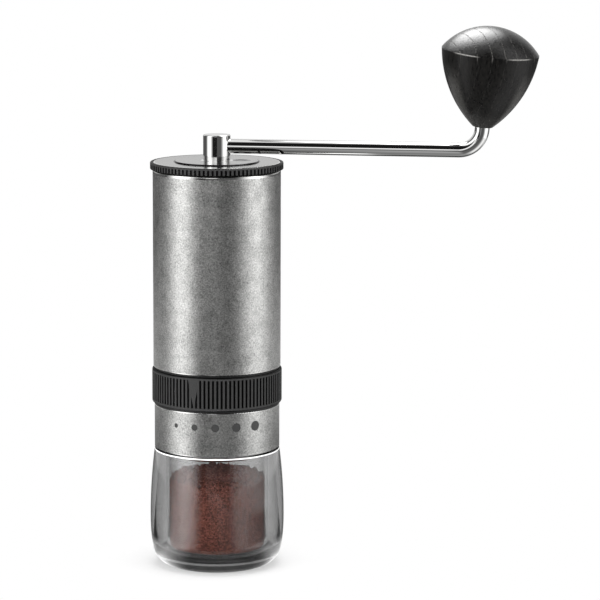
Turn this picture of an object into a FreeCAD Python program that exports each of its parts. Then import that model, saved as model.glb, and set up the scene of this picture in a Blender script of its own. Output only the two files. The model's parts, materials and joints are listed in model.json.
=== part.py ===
import FreeCAD, Part
import math
import os

# Hand crank coffee grinder. Millimetres and degrees, +Z up.
# The origin is on the shaft axis in the plane of the jar's foot, and the grind scale faces -Y.

# Clearances
FIT_GAP = 0.05            # radial, between pieces that are fixed together
RUN_GAP = 0.08            # radial, between pieces that turn or slide on each other
FACE_GAP = 0.1            # axial, between faces that turn past each other
SEAM = 0.4                # visible joint line between jar and collar, and space over the jar's neck

# Main diameter: the collar, ring, lid and jar follow the body tube
TUBE_OD = 50.0
COLLAR_STEP = 0.4         # the collar and the jar's rim stand back from the tube
RING_STAND = 0.5          # the adjusting ring stands out from the tube
LID_STAND = 1.0           # and so does the lid
COLLAR_OD = TUBE_OD - 2 * COLLAR_STEP
RING_OD = TUBE_OD + 2 * RING_STAND
LID_OD = TUBE_OD + 2 * LID_STAND
JAR_RIM_D = COLLAR_OD

# Jar: smoked outer shell, clear cup, push-fit neck
JAR_HEIGHT = 46.8
JAR_SWELL = 1.8           # the belly stands out from the rim
JAR_TUCK = 0.4            # the heel stands in from the rim
JAR_BELLY_D = JAR_RIM_D + 2 * JAR_SWELL
JAR_BELLY_Z = 19.0
JAR_HEEL_D = JAR_RIM_D - 2 * JAR_TUCK  # where the lower wall would meet the table without its round corner
JAR_CORNER_R = 8.0
JAR_WALL = 2.0
JAR_BASE = 4.2
JAR_RIM_R = 0.5
CUP_STEP = 0.9            # the cup stands in from the neck
CUP_WALL = 1.2
CUP_FLOOR_Z = 6.2
CUP_CORNER_R = 4.0
CUP_FLANGE_H = 2.4
NECK_WALL = 1.8
NECK_HEIGHT = 9.0
NECK_LEAD_R = 0.6
JAR_SEAL_Z = 4.5          # height of the O-ring above the jar's rim
JAR_SEAL_D = 1.4          # section of the O-ring

# Collar with the grind scale
COLLAR_HEIGHT = 17.5
COLLAR_WALL = 0.8
CORE_WALL = 2.59
NECK_OD = COLLAR_OD - 2 * (COLLAR_WALL + FIT_GAP + CORE_WALL + 2 * RUN_GAP)
CUP_OD = NECK_OD - 2 * CUP_STEP
COLLAR_EDGE_R = 0.35
CORE_RISE = 0.8           # the core stands back this far above the collar's lower edge
DOT_DIAMETERS = (1.8, 2.55, 3.1, 3.5, 3.9)
DOT_STEP = 19.3
DOT_Z = 11.7              # above the collar's lower edge
DOT_DEPTH = 0.2

# Adjusting ring
RING_HEIGHT = 13.4
RING_WALL = 3.92
RING_EDGE_R = 0.7
RING_RIBS = 96
RING_GROOVE_DEPTH = 0.6
RING_GROOVE_SHARE = 0.5   # part of the pitch that is groove
RING_PLAIN_TOP = 1.1
RING_PLAIN_FOOT = 1.3
POINTER_WIDTH = 4.6
POINTER_STEP = -1         # the dot that the pointer rests on, counted from the middle dot
RING_WASHER_H = 0.5
RING_WASHER_INSET = 0.9   # how far the washers stand back inside the ring
CAM_LEAD = 6.0            # rise of the burr carrier in one turn of the ring
CAM_DEPTH = 2.0
CAM_PLAY = 4.0            # free angle at each end of a cam groove
PIN_D = 3.0
PIN_COUNT = 3
PIN_FIRST = 90.0

# Body tube and chassis
TUBE_WALL = 1.2
TUBE_LENGTH = 77.7
TUBE_TOP_R = 0.9
TUBE_FOOT_R = 0.4
CHASSIS_OD = RING_OD - 2 * (RING_WALL + RUN_GAP)
CHASSIS_WALL = 1.97
SKIRT_HEIGHT = 11.0
SKIRT_WALL = 2.0
LEDGE_H = 2.4
SLOT_PLAY = 0.5           # free length at each end of a pin's slot

# Bearings and their bridges
SHAFT_D = 8.0
BEARING_OD = 16.0
BEARING_W = 5.0
BALL_D = 2.4
BALL_COUNT = 9
RACE_WALL = 1.1
BRIDGE_H = 7.5
BRIDGE_BAR_W = 8.0
BRIDGE_HUB_WALL = 1.6
BRIDGE_FLOOR = 1.5
UPPER_BRIDGE_DROP = 8.5   # top of the upper bridge below the top of the tube
UPPER_BRIDGE_WALL = 2.0

# Grinding set
CARRIER_WALL = 2.0
CARRIER_HEIGHT = 18.6
CARRIER_LIFT = 1.6        # lower face above the chassis's lower end
CARRIER_LIP = 2.4
RING_BURR_OD = CHASSIS_OD - 2 * (CHASSIS_WALL + RUN_GAP + CARRIER_WALL + FIT_GAP)
RING_BURR_H = 14.0
RING_BURR_WALL = 2.35     # at its foot
RING_BURR_RIM = 3.6       # at its mouth
GRIND_GAP = 0.45
BURR_BASE_D = RING_BURR_OD - 2 * (RING_BURR_WALL + GRIND_GAP)
MOUTH_D = RING_BURR_OD - 2 * RING_BURR_RIM
BURR_BAND_H = 5.0         # fine band at the foot of both burrs
BURR_BAND_TAPER = 2.4
BURR_TOP_D = 14.0
BURR_H = 17.0
BURR_DROP = 0.4           # foot of the inner burr below the ring burr
BURR_TEETH = 12
RING_TEETH = 24
TOOTH_DEPTH = 0.8
TOOTH_SLANT = 18.0
BURR_SCREW_COUNT = 3
BURR_SCREW_D = 2.0
BURR_SCREW_HEAD_D = 2.8
BURR_SCREW_HEAD_H = 1.2
BURR_SCREW_DEPTH = 4.0

# Drive shaft
SHAFT_FLATS = 6.4
SHAFT_THREAD_D = 6.0
SHAFT_HEX = 6.0
SHAFT_TAIL = 1.0
HEX_GAP = 0.1
NUT_FLATS = 10.0
NUT_H = 4.0
BURR_WASHER_D = 12.0
BURR_WASHER_H = 1.0
SPRING_WIRE = 1.0
SPRING_D = 10.6           # mean diameter
SPRING_TURNS = 2.5
CLIP_H = 0.8
CLIP_RISE = 1.0           # how far a clip stands out of its groove
CLIP_DEPTH = 0.5
CLIP_MOUTH = 60.0

# Lid
LID_RIM_H = 2.8
LID_RIM_WALL = 1.1
LID_GROOVES = RING_RIBS
LID_GROOVE_DEPTH = 0.4
LID_GROOVE_SHARE = 0.5
LID_PLAIN_TOP = 0.7
LID_PLATE_H = 0.7
LID_PLATE_EDGE_R = 0.3
BOSS_D = 33.0
BOSS_H = 0.5
BOSS_EDGE_R = 0.3
DIMPLE_D = 5.6
DIMPLE_X = 9.4
DIMPLE_DEPTH = 0.35
PLUG_DEPTH = 4.5
PLUG_WALL = 2.2
PLUG_GAP = 0.2
PLUG_HUB_D = 16.0
PLUG_HUB_DEPTH = 3.4
LID_SEAL_D = 1.4
LID_SEAL_DROP = 2.4       # middle of the O-ring below the lid's seat
BUSH_WALL = 1.2
LID_SCREW_COUNT = 3
LID_SCREW_FIRST = 60.0
LID_SCREW_PCD = 23.0
LID_SCREW_D = 2.5
LID_SCREW_HEAD_D = 4.4
LID_SCREW_HEAD_H = 1.2
LID_SCREW_BITE = 0.9      # thread length in the plate

# Crank and knob
HUB_D = 10.6
HUB_HEIGHT = 10.0
HUB_EDGE_R = 0.5
HUB_WASHER_D = 12.8
HUB_WASHER_H = 0.4
STEM_D = 9.4
SOCKET_ROOF = 0.5         # metal left between the hex socket and the arm
ARM_D = 5.7
ARM_REST_ANGLE = -7.5
ARM_ROLL = 3.8            # turn of the bent arm about its own length in the hub
ARM_RISE = 5.5            # arm's centre line above the hub's lower face
ARM_INSET = 3.0           # the arm's end beyond the hub's axis
ARM_BEND_R = 9.0
ARM_REACH = 103.4         # shaft axis to the middle of the knob's lower face
KNOB_LEAN = 5.6
KNOB_CLEAR = 9.4          # knob's lower face above the arm's centre line
KNOB_FOOT_D = 7.8
KNOB_RIM_D = 37.4
KNOB_WAIST_D = 26.2       # diameter part of the way up the side
KNOB_WAIST_H = 11.3
KNOB_SIDE_H = 29.2
KNOB_DOME_H = 9.5
KNOB_BUSH_WALL = 0.5
KNOB_BUSH_L = 13.0
KNOB_BORE_DEPTH = 18.5
KNOB_PAD_H = 1.6
KNOB_CLIP_RISE = 0.4
KNOB_CLIP_DEPTH = 0.4

Vec = FreeCAD.Vector
ORIGIN = Vec(0, 0, 0)
UP = Vec(0, 0, 1)

# Heights, from the table upwards
collar_z = JAR_HEIGHT + SEAM
collar_top_z = collar_z + COLLAR_HEIGHT
core_z = collar_z + CORE_RISE
neck_top_z = JAR_HEIGHT + NECK_HEIGHT
chassis_z = neck_top_z + SEAM
ring_z = collar_top_z + RING_WASHER_H + FACE_GAP
ring_top_z = ring_z + RING_HEIGHT
pin_z = (ring_z + ring_top_z) / 2
upper_washer_z = ring_top_z + FACE_GAP
tube_z = upper_washer_z + RING_WASHER_H
tube_top_z = tube_z + TUBE_LENGTH
ledge_z = tube_z + LEDGE_H
skirt_top_z = tube_z + SKIRT_HEIGHT
carrier_z = chassis_z + CARRIER_LIFT
carrier_top_z = carrier_z + CARRIER_HEIGHT
ring_burr_top_z = carrier_top_z - CARRIER_LIP
ring_burr_z = ring_burr_top_z - RING_BURR_H
burr_z = ring_burr_z - BURR_DROP
burr_top_z = burr_z + BURR_H
burr_washer_z = burr_z - BURR_WASHER_H
nut_z = burr_washer_z - NUT_H
shaft_z = nut_z - SHAFT_TAIL
upper_bridge_z = tube_top_z - UPPER_BRIDGE_DROP - BRIDGE_H
lower_bearing_z = ledge_z + BRIDGE_FLOOR
upper_bearing_z = upper_bridge_z + BRIDGE_FLOOR
lid_rim_z = tube_top_z + FACE_GAP
lid_plate_z = lid_rim_z + LID_RIM_H - LID_PLATE_H
boss_z = lid_plate_z + LID_PLATE_H
boss_top_z = boss_z + BOSS_H
hub_z = boss_top_z + FACE_GAP
hub_top_z = hub_z + HUB_HEIGHT
arm_z = hub_z + ARM_RISE
socket_top_z = arm_z - ARM_D / 2 - SOCKET_ROOF
shaft_top_z = socket_top_z - SEAM
bush_z = tube_top_z - PLUG_HUB_DEPTH
hub_clip_z = bush_z - FACE_GAP - CLIP_H
stem_z = hub_clip_z - CLIP_H
hex_z = stem_z - SEAM
washer_seat_z = boss_top_z - HUB_WASHER_H
knob_z = arm_z + KNOB_CLEAR

# Radii that several pieces share
shaft_r = SHAFT_D / 2
chassis_r = CHASSIS_OD / 2
tube_bore_r = TUBE_OD / 2 - TUBE_WALL
skirt_r = tube_bore_r - FIT_GAP
skirt_bore_r = skirt_r - SKIRT_WALL
carrier_r = RING_BURR_OD / 2 + FIT_GAP + CARRIER_WALL
carrier_bore_r = chassis_r - CHASSIS_WALL
ring_bore_r = RING_OD / 2 - RING_WALL
washer_r = RING_OD / 2 - RING_WASHER_INSET
race_r = BEARING_OD / 2
lip_bore_r = MOUTH_D / 2 + FIT_GAP
burr_screw_ring_r = (lip_bore_r + carrier_r - CARRIER_WALL) / 2
stem_r = STEM_D / 2
bush_r = stem_r + RUN_GAP + BUSH_WALL
plug_r = tube_bore_r - PLUG_GAP
flange_r = LID_OD / 2 - LID_RIM_WALL - FIT_GAP
arm_r = ARM_D / 2
knob_bush_r = arm_r + RUN_GAP + KNOB_BUSH_WALL
knob_bore_r = knob_bush_r + FIT_GAP


def outline(corners):
    """Closed wire through (radius, height) corners; a third number rounds that corner."""
    points = [Vec(corner[0], 0, corner[1]) for corner in corners]
    count = len(points)
    arrive = []
    leave = []
    edges = []
    for index, corner in enumerate(corners):
        point = points[index]
        if len(corner) == 2:
            arrive.append(point)
            leave.append(point)
            continue
        back = (points[index - 1] - point).normalize()
        ahead = (points[(index + 1) % count] - point).normalize()
        half = back.getAngle(ahead) / 2
        run = corner[2] / math.tan(half)
        inward = (back + ahead).normalize()
        middle = point + inward * (corner[2] / math.sin(half) - corner[2])
        arrive.append(point + back * run)
        leave.append(point + ahead * run)
        edges.append(Part.Arc(arrive[-1], middle, leave[-1]).toShape())
    for index in range(count):
        following = (index + 1) % count
        edges.append(Part.makeLine(leave[index], arrive[following]))
    return Part.Wire(Part.__sortEdges__(edges))


def spun(wire):
    """Solid of revolution of a closed wire in the XZ plane about Z."""
    return Part.Face(wire).revolve(ORIGIN, UP, 360)


def turned(*corners):
    return spun(outline(corners))


def tube(outer_r, inner_r, low, high):
    return turned((inner_r, low), (outer_r, low), (outer_r, high), (inner_r, high))


def rod(radius, low, high, x=0.0):
    return Part.makeCylinder(radius, high - low, Vec(x, 0, low), UP)


def hexagon(flats, low, high):
    corner_r = flats / math.sqrt(3)
    points = []
    for side in range(7):
        angle = math.radians(60 * side)
        points.append(Vec(corner_r * math.cos(angle), corner_r * math.sin(angle), low))
    return Part.Face(Part.makePolygon(points)).extrude(UP * (high - low))


def flatted(radius, flats, low, high):
    """Round bar with two flats facing +Y and -Y."""
    block = Part.makeBox(4 * radius, flats, high - low, Vec(-2 * radius, -flats / 2, low))
    return rod(radius, low, high).common(block)


def turned_to(shape, angle):
    copy = shape.copy()
    copy.rotate(ORIGIN, UP, angle)
    return copy


def around(shape, count, first=0.0):
    return Part.makeCompound([turned_to(shape, first + 360.0 * n / count) for n in range(count)])


def o_ring(mean_r, section, z):
    return Part.makeTorus(mean_r, section / 2, Vec(0, 0, z), UP)


def open_clip(outer_r, inner_r, low, high):
    """Flat retaining clip with a mouth on its +X side."""
    half = math.radians(CLIP_MOUTH / 2)
    reach = 2 * outer_r
    far = Vec(reach * math.cos(half), reach * math.sin(half), low)
    near = Vec(far.x, -far.y, low)
    wedge = Part.Face(Part.makePolygon([Vec(0, 0, low), near, far, Vec(0, 0, low)]))
    return tube(outer_r, inner_r, low, high).cut(wedge.extrude(UP * (high - low)))


def jar_wall(height, inset):
    """Radius of the jar's wall at a height, measured inset from its outer face."""
    belly_r = JAR_BELLY_D / 2
    if height > JAR_BELLY_Z:
        span = JAR_HEIGHT - JAR_BELLY_Z
        narrowing = belly_r - JAR_RIM_D / 2
    else:
        span = JAR_BELLY_Z
        narrowing = belly_r - JAR_HEEL_D / 2
    curve_r = (span ** 2 + narrowing ** 2) / (2 * narrowing)
    return belly_r - curve_r + math.sqrt((curve_r - inset) ** 2 - (height - JAR_BELLY_Z) ** 2)


def jar_solid(low, inset, corner_r):
    """Solid body of the jar from a height up to its rim, its wall inset from the outer face."""
    levels = (low, (low + JAR_BELLY_Z) / 2, JAR_BELLY_Z, (JAR_BELLY_Z + JAR_HEIGHT) / 2, JAR_HEIGHT)
    foot, lower, belly, upper, rim = [Vec(jar_wall(z, inset), 0, z) for z in levels]
    base = Vec(0, 0, low)
    top = Vec(0, 0, JAR_HEIGHT)
    wire = Part.Wire([
        Part.makeLine(base, foot),
        Part.Arc(foot, lower, belly).toShape(),
        Part.Arc(belly, upper, rim).toShape(),
        Part.makeLine(rim, top),
        Part.makeLine(top, base),
    ])
    body = spun(wire)
    heel = [edge for edge in body.Edges if edge.BoundBox.ZMax < low + 0.01 and edge.Length > foot.x]
    return body.makeFillet(corner_r, heel)


def make_jar():
    outside = jar_solid(0.0, 0.0, JAR_CORNER_R)
    rim = [edge for edge in outside.Edges if edge.BoundBox.ZMin > JAR_HEIGHT - 0.01 and edge.Length > JAR_RIM_D]
    outside = outside.makeFillet(JAR_RIM_R, rim)
    return outside.cut(jar_solid(JAR_BASE, JAR_WALL, JAR_CORNER_R - JAR_WALL))


def make_grounds_cup():
    cup_r = CUP_OD / 2
    neck_r = NECK_OD / 2
    flange_z = JAR_HEIGHT - CUP_FLANGE_H
    flange_r = jar_wall(JAR_HEIGHT, JAR_WALL) - FIT_GAP
    floor_z = CUP_FLOOR_Z - CUP_WALL
    groove_z = JAR_HEIGHT + JAR_SEAL_Z - JAR_SEAL_D / 2 - FIT_GAP
    groove_top_z = JAR_HEIGHT + JAR_SEAL_Z + JAR_SEAL_D / 2 + FIT_GAP
    groove_r = neck_r - JAR_SEAL_D + RUN_GAP
    return turned(
        (0, floor_z),
        (cup_r, floor_z, CUP_CORNER_R),
        (cup_r, flange_z),
        (flange_r, flange_z),
        (flange_r, JAR_HEIGHT),
        (neck_r, JAR_HEIGHT),
        (neck_r, groove_z),
        (groove_r, groove_z),
        (groove_r, groove_top_z),
        (neck_r, groove_top_z),
        (neck_r, neck_top_z, NECK_LEAD_R),
        (neck_r - NECK_WALL, neck_top_z),
        (neck_r - NECK_WALL, JAR_HEIGHT),
        (cup_r - CUP_WALL, flange_z),
        (cup_r - CUP_WALL, CUP_FLOOR_Z, CUP_CORNER_R - CUP_WALL),
        (0, CUP_FLOOR_Z),
    )


def make_jar_seal():
    mean_r = NECK_OD / 2 - JAR_SEAL_D / 2 + 2 * RUN_GAP
    return o_ring(mean_r, JAR_SEAL_D, JAR_HEIGHT + JAR_SEAL_Z)


def dot_tools():
    """One radial rod for each dot of the grind scale."""
    tools = []
    for index, diameter in enumerate(DOT_DIAMETERS):
        start = COLLAR_OD / 2 - DOT_DEPTH - FIT_GAP
        tool = Part.makeCylinder(diameter / 2, 4 * DOT_DEPTH, Vec(start, 0, collar_z + DOT_Z), Vec(1, 0, 0))
        middle = (len(DOT_DIAMETERS) - 1) / 2
        tools.append(turned_to(tool, -90 + DOT_STEP * (index - middle)))
    return Part.makeCompound(tools)


def collar_blank():
    collar_r = COLLAR_OD / 2
    return turned(
        (collar_r - COLLAR_WALL, collar_z),
        (collar_r, collar_z, COLLAR_EDGE_R),
        (collar_r, collar_top_z, COLLAR_EDGE_R),
        (collar_r - COLLAR_WALL, collar_top_z),
    )


def dot_pool():
    """Thin shell on the collar's face that holds the paint of the dots."""
    collar_r = COLLAR_OD / 2
    return tube(collar_r, collar_r - DOT_DEPTH, collar_z + COLLAR_EDGE_R, collar_top_z - COLLAR_EDGE_R)


def make_collar():
    return collar_blank().cut(dot_pool().common(dot_tools()))


def make_scale_dots():
    return Part.makeCompound(dot_pool().common(dot_tools()).Solids)


def make_collar_core():
    core_r = COLLAR_OD / 2 - COLLAR_WALL - FIT_GAP
    socket_r = NECK_OD / 2 + 2 * RUN_GAP
    sleeve_r = chassis_r + FIT_GAP
    return turned(
        (socket_r, core_z, NECK_LEAD_R),
        (core_r, core_z),
        (core_r, collar_top_z),
        (sleeve_r, collar_top_z),
        (sleeve_r, chassis_z),
        (socket_r, chassis_z),
    )


def ring_range():
    """Angles of the adjusting ring at the first and the last dot, from its place at rest."""
    side = (len(DOT_DIAMETERS) - 1) / 2
    return DOT_STEP * (-side - POINTER_STEP), DOT_STEP * (side - POINTER_STEP)


def helical_groove(inner_r, outer_r, width):
    """Left-handed helical band about Z that passes the pin's place at rest, at angle 0."""
    fine, coarse = ring_range()
    low_end = CAM_PLAY - fine
    high_end = CAM_PLAY + coarse
    rise = CAM_LEAD * (low_end + high_end) / 360.0
    mean_r = (inner_r + outer_r) / 2
    helix = Part.makeHelix(CAM_LEAD, rise, mean_r, 0, True)
    corners = []
    for radius, side in ((inner_r, -1), (outer_r, -1), (outer_r, 1), (inner_r, 1), (inner_r, -1)):
        corners.append(Vec(radius, 0, side * width / 2))
    band = Part.Wire(helix.Edges).makePipeShell([Part.makePolygon(corners)], True, True)
    band.rotate(ORIGIN, UP, low_end)
    band.translate(Vec(0, 0, pin_z - CAM_LEAD * low_end / 360.0))
    return band


def slots(count, share, outer_r, depth, low, high):
    """Upright grooves around a rim, each filling a share of its pitch."""
    width = 2 * math.pi * outer_r / count * share
    slot = Part.makeBox(2 * depth, width, high - low, Vec(outer_r - depth, -width / 2, low))
    return around(slot, count, 180.0 / count)


def make_adjusting_ring():
    outer_r = RING_OD / 2
    body = turned(
        (ring_bore_r, ring_z),
        (outer_r, ring_z, RING_EDGE_R),
        (outer_r, ring_top_z, RING_EDGE_R),
        (ring_bore_r, ring_top_z),
    )
    low = ring_z + RING_PLAIN_FOOT
    high = ring_top_z - RING_PLAIN_TOP
    grooves = slots(RING_RIBS, RING_GROOVE_SHARE, outer_r, RING_GROOVE_DEPTH, low, high)
    shoulder = Vec(0, POINTER_WIDTH / 2, high)
    tip = Vec(0, 0, low)
    pointer = Part.Face(Part.makePolygon([tip, shoulder, Vec(0, -shoulder.y, high), tip]))
    pointer = pointer.extrude(Vec(2 * outer_r, 0, 0))
    pointer = turned_to(pointer, -90 + DOT_STEP * POINTER_STEP)
    body = body.cut(grooves.cut(pointer))
    cam = helical_groove(ring_bore_r - CAM_DEPTH, ring_bore_r + CAM_DEPTH, PIN_D + 2 * FACE_GAP)
    for index in range(PIN_COUNT):
        body = body.cut(turned_to(cam, PIN_FIRST + 360.0 * index / PIN_COUNT))
    return body


def make_ring_washer(low):
    return tube(washer_r, chassis_r + FIT_GAP, low, low + RING_WASHER_H)


def make_body_tube():
    outer_r = TUBE_OD / 2
    return turned(
        (tube_bore_r, tube_z),
        (outer_r, tube_z, TUBE_FOOT_R),
        (outer_r, tube_top_z, TUBE_TOP_R),
        (tube_bore_r, tube_top_z),
    )


def make_chassis():
    body = turned(
        (carrier_bore_r, chassis_z),
        (chassis_r, chassis_z),
        (chassis_r, tube_z),
        (skirt_r, tube_z),
        (skirt_r, skirt_top_z),
        (skirt_bore_r, skirt_top_z),
        (skirt_bore_r, ledge_z),
        (carrier_bore_r, ledge_z),
    )
    fine, coarse = ring_range()
    slot_z = pin_z - PIN_D / 2 + CAM_LEAD * fine / 360.0 - SLOT_PLAY
    slot_top_z = pin_z + PIN_D / 2 + CAM_LEAD * coarse / 360.0 + SLOT_PLAY
    width = PIN_D + 2 * FACE_GAP
    slot = Part.makeBox(2 * chassis_r, width, slot_top_z - slot_z, Vec(0, -width / 2, slot_z))
    return body.cut(around(slot, PIN_COUNT, PIN_FIRST))


def bridge(low, end_r):
    """Bar across the body with a bearing seat that opens upwards, its ends cut round."""
    high = low + BRIDGE_H
    hub_r = race_r + FIT_GAP + BRIDGE_HUB_WALL
    bar = Part.makeBox(4 * end_r, BRIDGE_BAR_W, BRIDGE_H, Vec(-2 * end_r, -BRIDGE_BAR_W / 2, low))
    body = bar.common(rod(end_r, low, high)).fuse(rod(hub_r, low, high))
    seat = rod(race_r + FIT_GAP, low + BRIDGE_FLOOR, high)
    passage = rod(race_r - RACE_WALL, low, high)
    return body.cut(seat.fuse(passage)).removeSplitter()


def make_lower_bridge():
    return bridge(ledge_z, skirt_bore_r - FIT_GAP)


def make_upper_bridge():
    high = upper_bridge_z + BRIDGE_H
    rim = tube(tube_bore_r - FIT_GAP, tube_bore_r - FIT_GAP - UPPER_BRIDGE_WALL, upper_bridge_z, high)
    return bridge(upper_bridge_z, tube_bore_r - UPPER_BRIDGE_WALL).fuse(rim).removeSplitter()


def race(outer_r, inner_r, low):
    pitch_r = (shaft_r + race_r) / 2
    track = Part.makeTorus(pitch_r, BALL_D / 2 + FIT_GAP, Vec(0, 0, low + BEARING_W / 2), UP)
    return tube(outer_r, inner_r, low, low + BEARING_W).cut(track)


def make_outer_race(low):
    return race(race_r, race_r - RACE_WALL, low)


def make_inner_race(low):
    return race(shaft_r + FIT_GAP + RACE_WALL, shaft_r + FIT_GAP, low)


def make_balls(low):
    pitch_r = (shaft_r + race_r) / 2
    return around(Part.makeSphere(BALL_D / 2, Vec(pitch_r, 0, low + BEARING_W / 2)), BALL_COUNT)


def make_burr_carrier():
    bore_r = carrier_r - CARRIER_WALL
    body = turned(
        (bore_r, carrier_z),
        (carrier_r, carrier_z),
        (carrier_r, carrier_top_z),
        (lip_bore_r, carrier_top_z),
        (lip_bore_r, ring_burr_top_z),
        (bore_r, ring_burr_top_z),
    )
    hole = rod(BURR_SCREW_D / 2 + RUN_GAP, ring_burr_top_z, carrier_top_z, burr_screw_ring_r)
    pin_hole = Part.makeCylinder(PIN_D / 2, 2 * carrier_r, Vec(0, 0, pin_z), Vec(1, 0, 0))
    body = body.cut(around(pin_hole, PIN_COUNT, PIN_FIRST))
    return body.cut(around(hole, BURR_SCREW_COUNT))


def make_follower_pins():
    start = carrier_r - CARRIER_WALL + FACE_GAP
    length = ring_bore_r + CAM_DEPTH - SEAM - start
    pin = Part.makeCylinder(PIN_D / 2, length, Vec(start, 0, pin_z), Vec(1, 0, 0))
    return around(pin, PIN_COUNT, PIN_FIRST)


def make_burr_screws():
    under_z = carrier_top_z
    head = rod(BURR_SCREW_HEAD_D / 2, under_z, under_z + BURR_SCREW_HEAD_H, burr_screw_ring_r)
    socket = rod(BURR_SCREW_D / 4, under_z + BURR_SCREW_HEAD_H / 2, under_z + BURR_SCREW_HEAD_H, burr_screw_ring_r)
    shank = rod(BURR_SCREW_D / 2, ring_burr_top_z - BURR_SCREW_DEPTH, under_z, burr_screw_ring_r)
    return around(head.fuse(shank).cut(socket), BURR_SCREW_COUNT)


def tooth_cut(radius, low, high):
    """Square bar that leans around the axis, for one flute on a burr."""
    width = 2 * TOOTH_DEPTH
    bar = Part.makeBox(width, width, 2 * (high - low), Vec(-width / 2, -width / 2, low - high))
    bar.rotate(ORIGIN, UP, 45)
    bar.rotate(ORIGIN, Vec(1, 0, 0), TOOTH_SLANT)
    bar.translate(Vec(radius, 0, (low + high) / 2))
    return bar


def make_ring_burr():
    outer_r = RING_BURR_OD / 2
    foot_r = BURR_BASE_D / 2 + GRIND_GAP
    throat_r = foot_r - BURR_BAND_TAPER
    throat_z = ring_burr_z + BURR_BAND_H
    mouth_z = ring_burr_top_z - TOOTH_DEPTH
    body = turned(
        (foot_r, ring_burr_z),
        (outer_r, ring_burr_z),
        (outer_r, ring_burr_top_z),
        (MOUTH_D / 2, ring_burr_top_z),
        (throat_r + TOOTH_DEPTH, mouth_z),
        (throat_r, throat_z),
    )
    body = body.cut(around(tooth_cut(throat_r, throat_z, ring_burr_top_z), RING_TEETH))
    hole_z = ring_burr_top_z - BURR_SCREW_DEPTH - SEAM
    hole = rod(BURR_SCREW_D / 2 + FIT_GAP, hole_z, ring_burr_top_z, burr_screw_ring_r)
    return body.cut(around(hole, BURR_SCREW_COUNT))


def make_inner_burr():
    base_r = BURR_BASE_D / 2
    band_r = base_r - BURR_BAND_TAPER
    band_z = ring_burr_z + BURR_BAND_H
    body = turned(
        (0, burr_z),
        (base_r, burr_z),
        (base_r, ring_burr_z),
        (band_r, band_z),
        (BURR_TOP_D / 2, burr_top_z),
        (0, burr_top_z),
    )
    flute = tooth_cut((band_r + BURR_TOP_D / 2) / 2, band_z, burr_top_z)
    cone_angle = math.degrees(math.atan2(band_r - BURR_TOP_D / 2, burr_top_z - band_z))
    flute.rotate(Vec((band_r + BURR_TOP_D / 2) / 2, 0, (band_z + burr_top_z) / 2), Vec(0, 1, 0), -cone_angle)
    body = body.cut(around(flute, BURR_TEETH))
    return body.cut(flatted(shaft_r + FIT_GAP, SHAFT_FLATS + 2 * FIT_GAP, burr_z, burr_top_z))


def make_drive_shaft():
    body = rod(shaft_r, burr_top_z, hex_z)
    body = body.fuse(flatted(shaft_r, SHAFT_FLATS, burr_z, burr_top_z))
    body = body.fuse(rod(SHAFT_THREAD_D / 2, shaft_z, burr_z))
    body = body.fuse(hexagon(SHAFT_HEX, hex_z, shaft_top_z))
    clip_z = lower_bearing_z + BEARING_W + FACE_GAP
    return body.cut(tube(2 * shaft_r, shaft_r - CLIP_DEPTH, clip_z, clip_z + CLIP_H)).removeSplitter()


def make_shaft_clip():
    clip_z = lower_bearing_z + BEARING_W + FACE_GAP
    inner_r = shaft_r - CLIP_DEPTH + FIT_GAP
    return open_clip(shaft_r + CLIP_RISE, inner_r, clip_z + FIT_GAP, clip_z + CLIP_H - FIT_GAP)


def make_burr_washer():
    return tube(BURR_WASHER_D / 2, SHAFT_THREAD_D / 2 + FIT_GAP, burr_washer_z, burr_z)


def make_burr_nut():
    return hexagon(NUT_FLATS, nut_z, burr_washer_z).cut(rod(SHAFT_THREAD_D / 2 + FIT_GAP, nut_z, burr_washer_z))


def make_burr_spring():
    """Coil between the inner burr and the lower bearing, drawn as quarter turns."""
    mean_r = SPRING_D / 2
    low = burr_top_z + SPRING_WIRE / 2 + FIT_GAP
    rise = lower_bearing_z - SPRING_WIRE / 2 - FIT_GAP - low
    quarters = round(4 * SPRING_TURNS)

    def place(step):
        angle = math.radians(90 * step)
        return Vec(mean_r * math.cos(angle), mean_r * math.sin(angle), low + rise * step / quarters)

    path = [Part.Arc(place(n), place(n + 0.5), place(n + 1)).toShape() for n in range(quarters)]
    wire = Part.Wire(path)
    start = path[0]
    heading = start.tangentAt(start.FirstParameter)
    section = Part.Wire(Part.makeCircle(SPRING_WIRE / 2, place(0), heading))
    return wire.makePipeShell([section], True, False)


def make_lid_plug():
    flange_top_z = lid_plate_z
    groove_z = tube_top_z - LID_SEAL_DROP - LID_SEAL_D / 2 - FIT_GAP
    groove_top_z = tube_top_z - LID_SEAL_DROP + LID_SEAL_D / 2 + FIT_GAP
    groove_r = plug_r - LID_SEAL_D + PLUG_GAP / 2
    bore_r = bush_r + FIT_GAP
    body = turned(
        (bore_r, bush_z),
        (PLUG_HUB_D / 2, bush_z),
        (PLUG_HUB_D / 2, tube_top_z),
        (plug_r - PLUG_WALL, tube_top_z),
        (plug_r - PLUG_WALL, tube_top_z - PLUG_DEPTH),
        (plug_r, tube_top_z - PLUG_DEPTH),
        (plug_r, groove_z),
        (groove_r, groove_z),
        (groove_r, groove_top_z),
        (plug_r, groove_top_z),
        (plug_r, tube_top_z),
        (flange_r, tube_top_z),
        (flange_r, flange_top_z),
        (bore_r, flange_top_z),
    )
    hole = rod(LID_SCREW_D / 2 + FIT_GAP, tube_top_z, flange_top_z, LID_SCREW_PCD / 2)
    return body.cut(around(hole, LID_SCREW_COUNT, LID_SCREW_FIRST))


def make_lid_seal():
    mean_r = plug_r - LID_SEAL_D / 2 + PLUG_GAP / 2 + FIT_GAP
    return o_ring(mean_r, LID_SEAL_D, tube_top_z - LID_SEAL_DROP)


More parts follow.
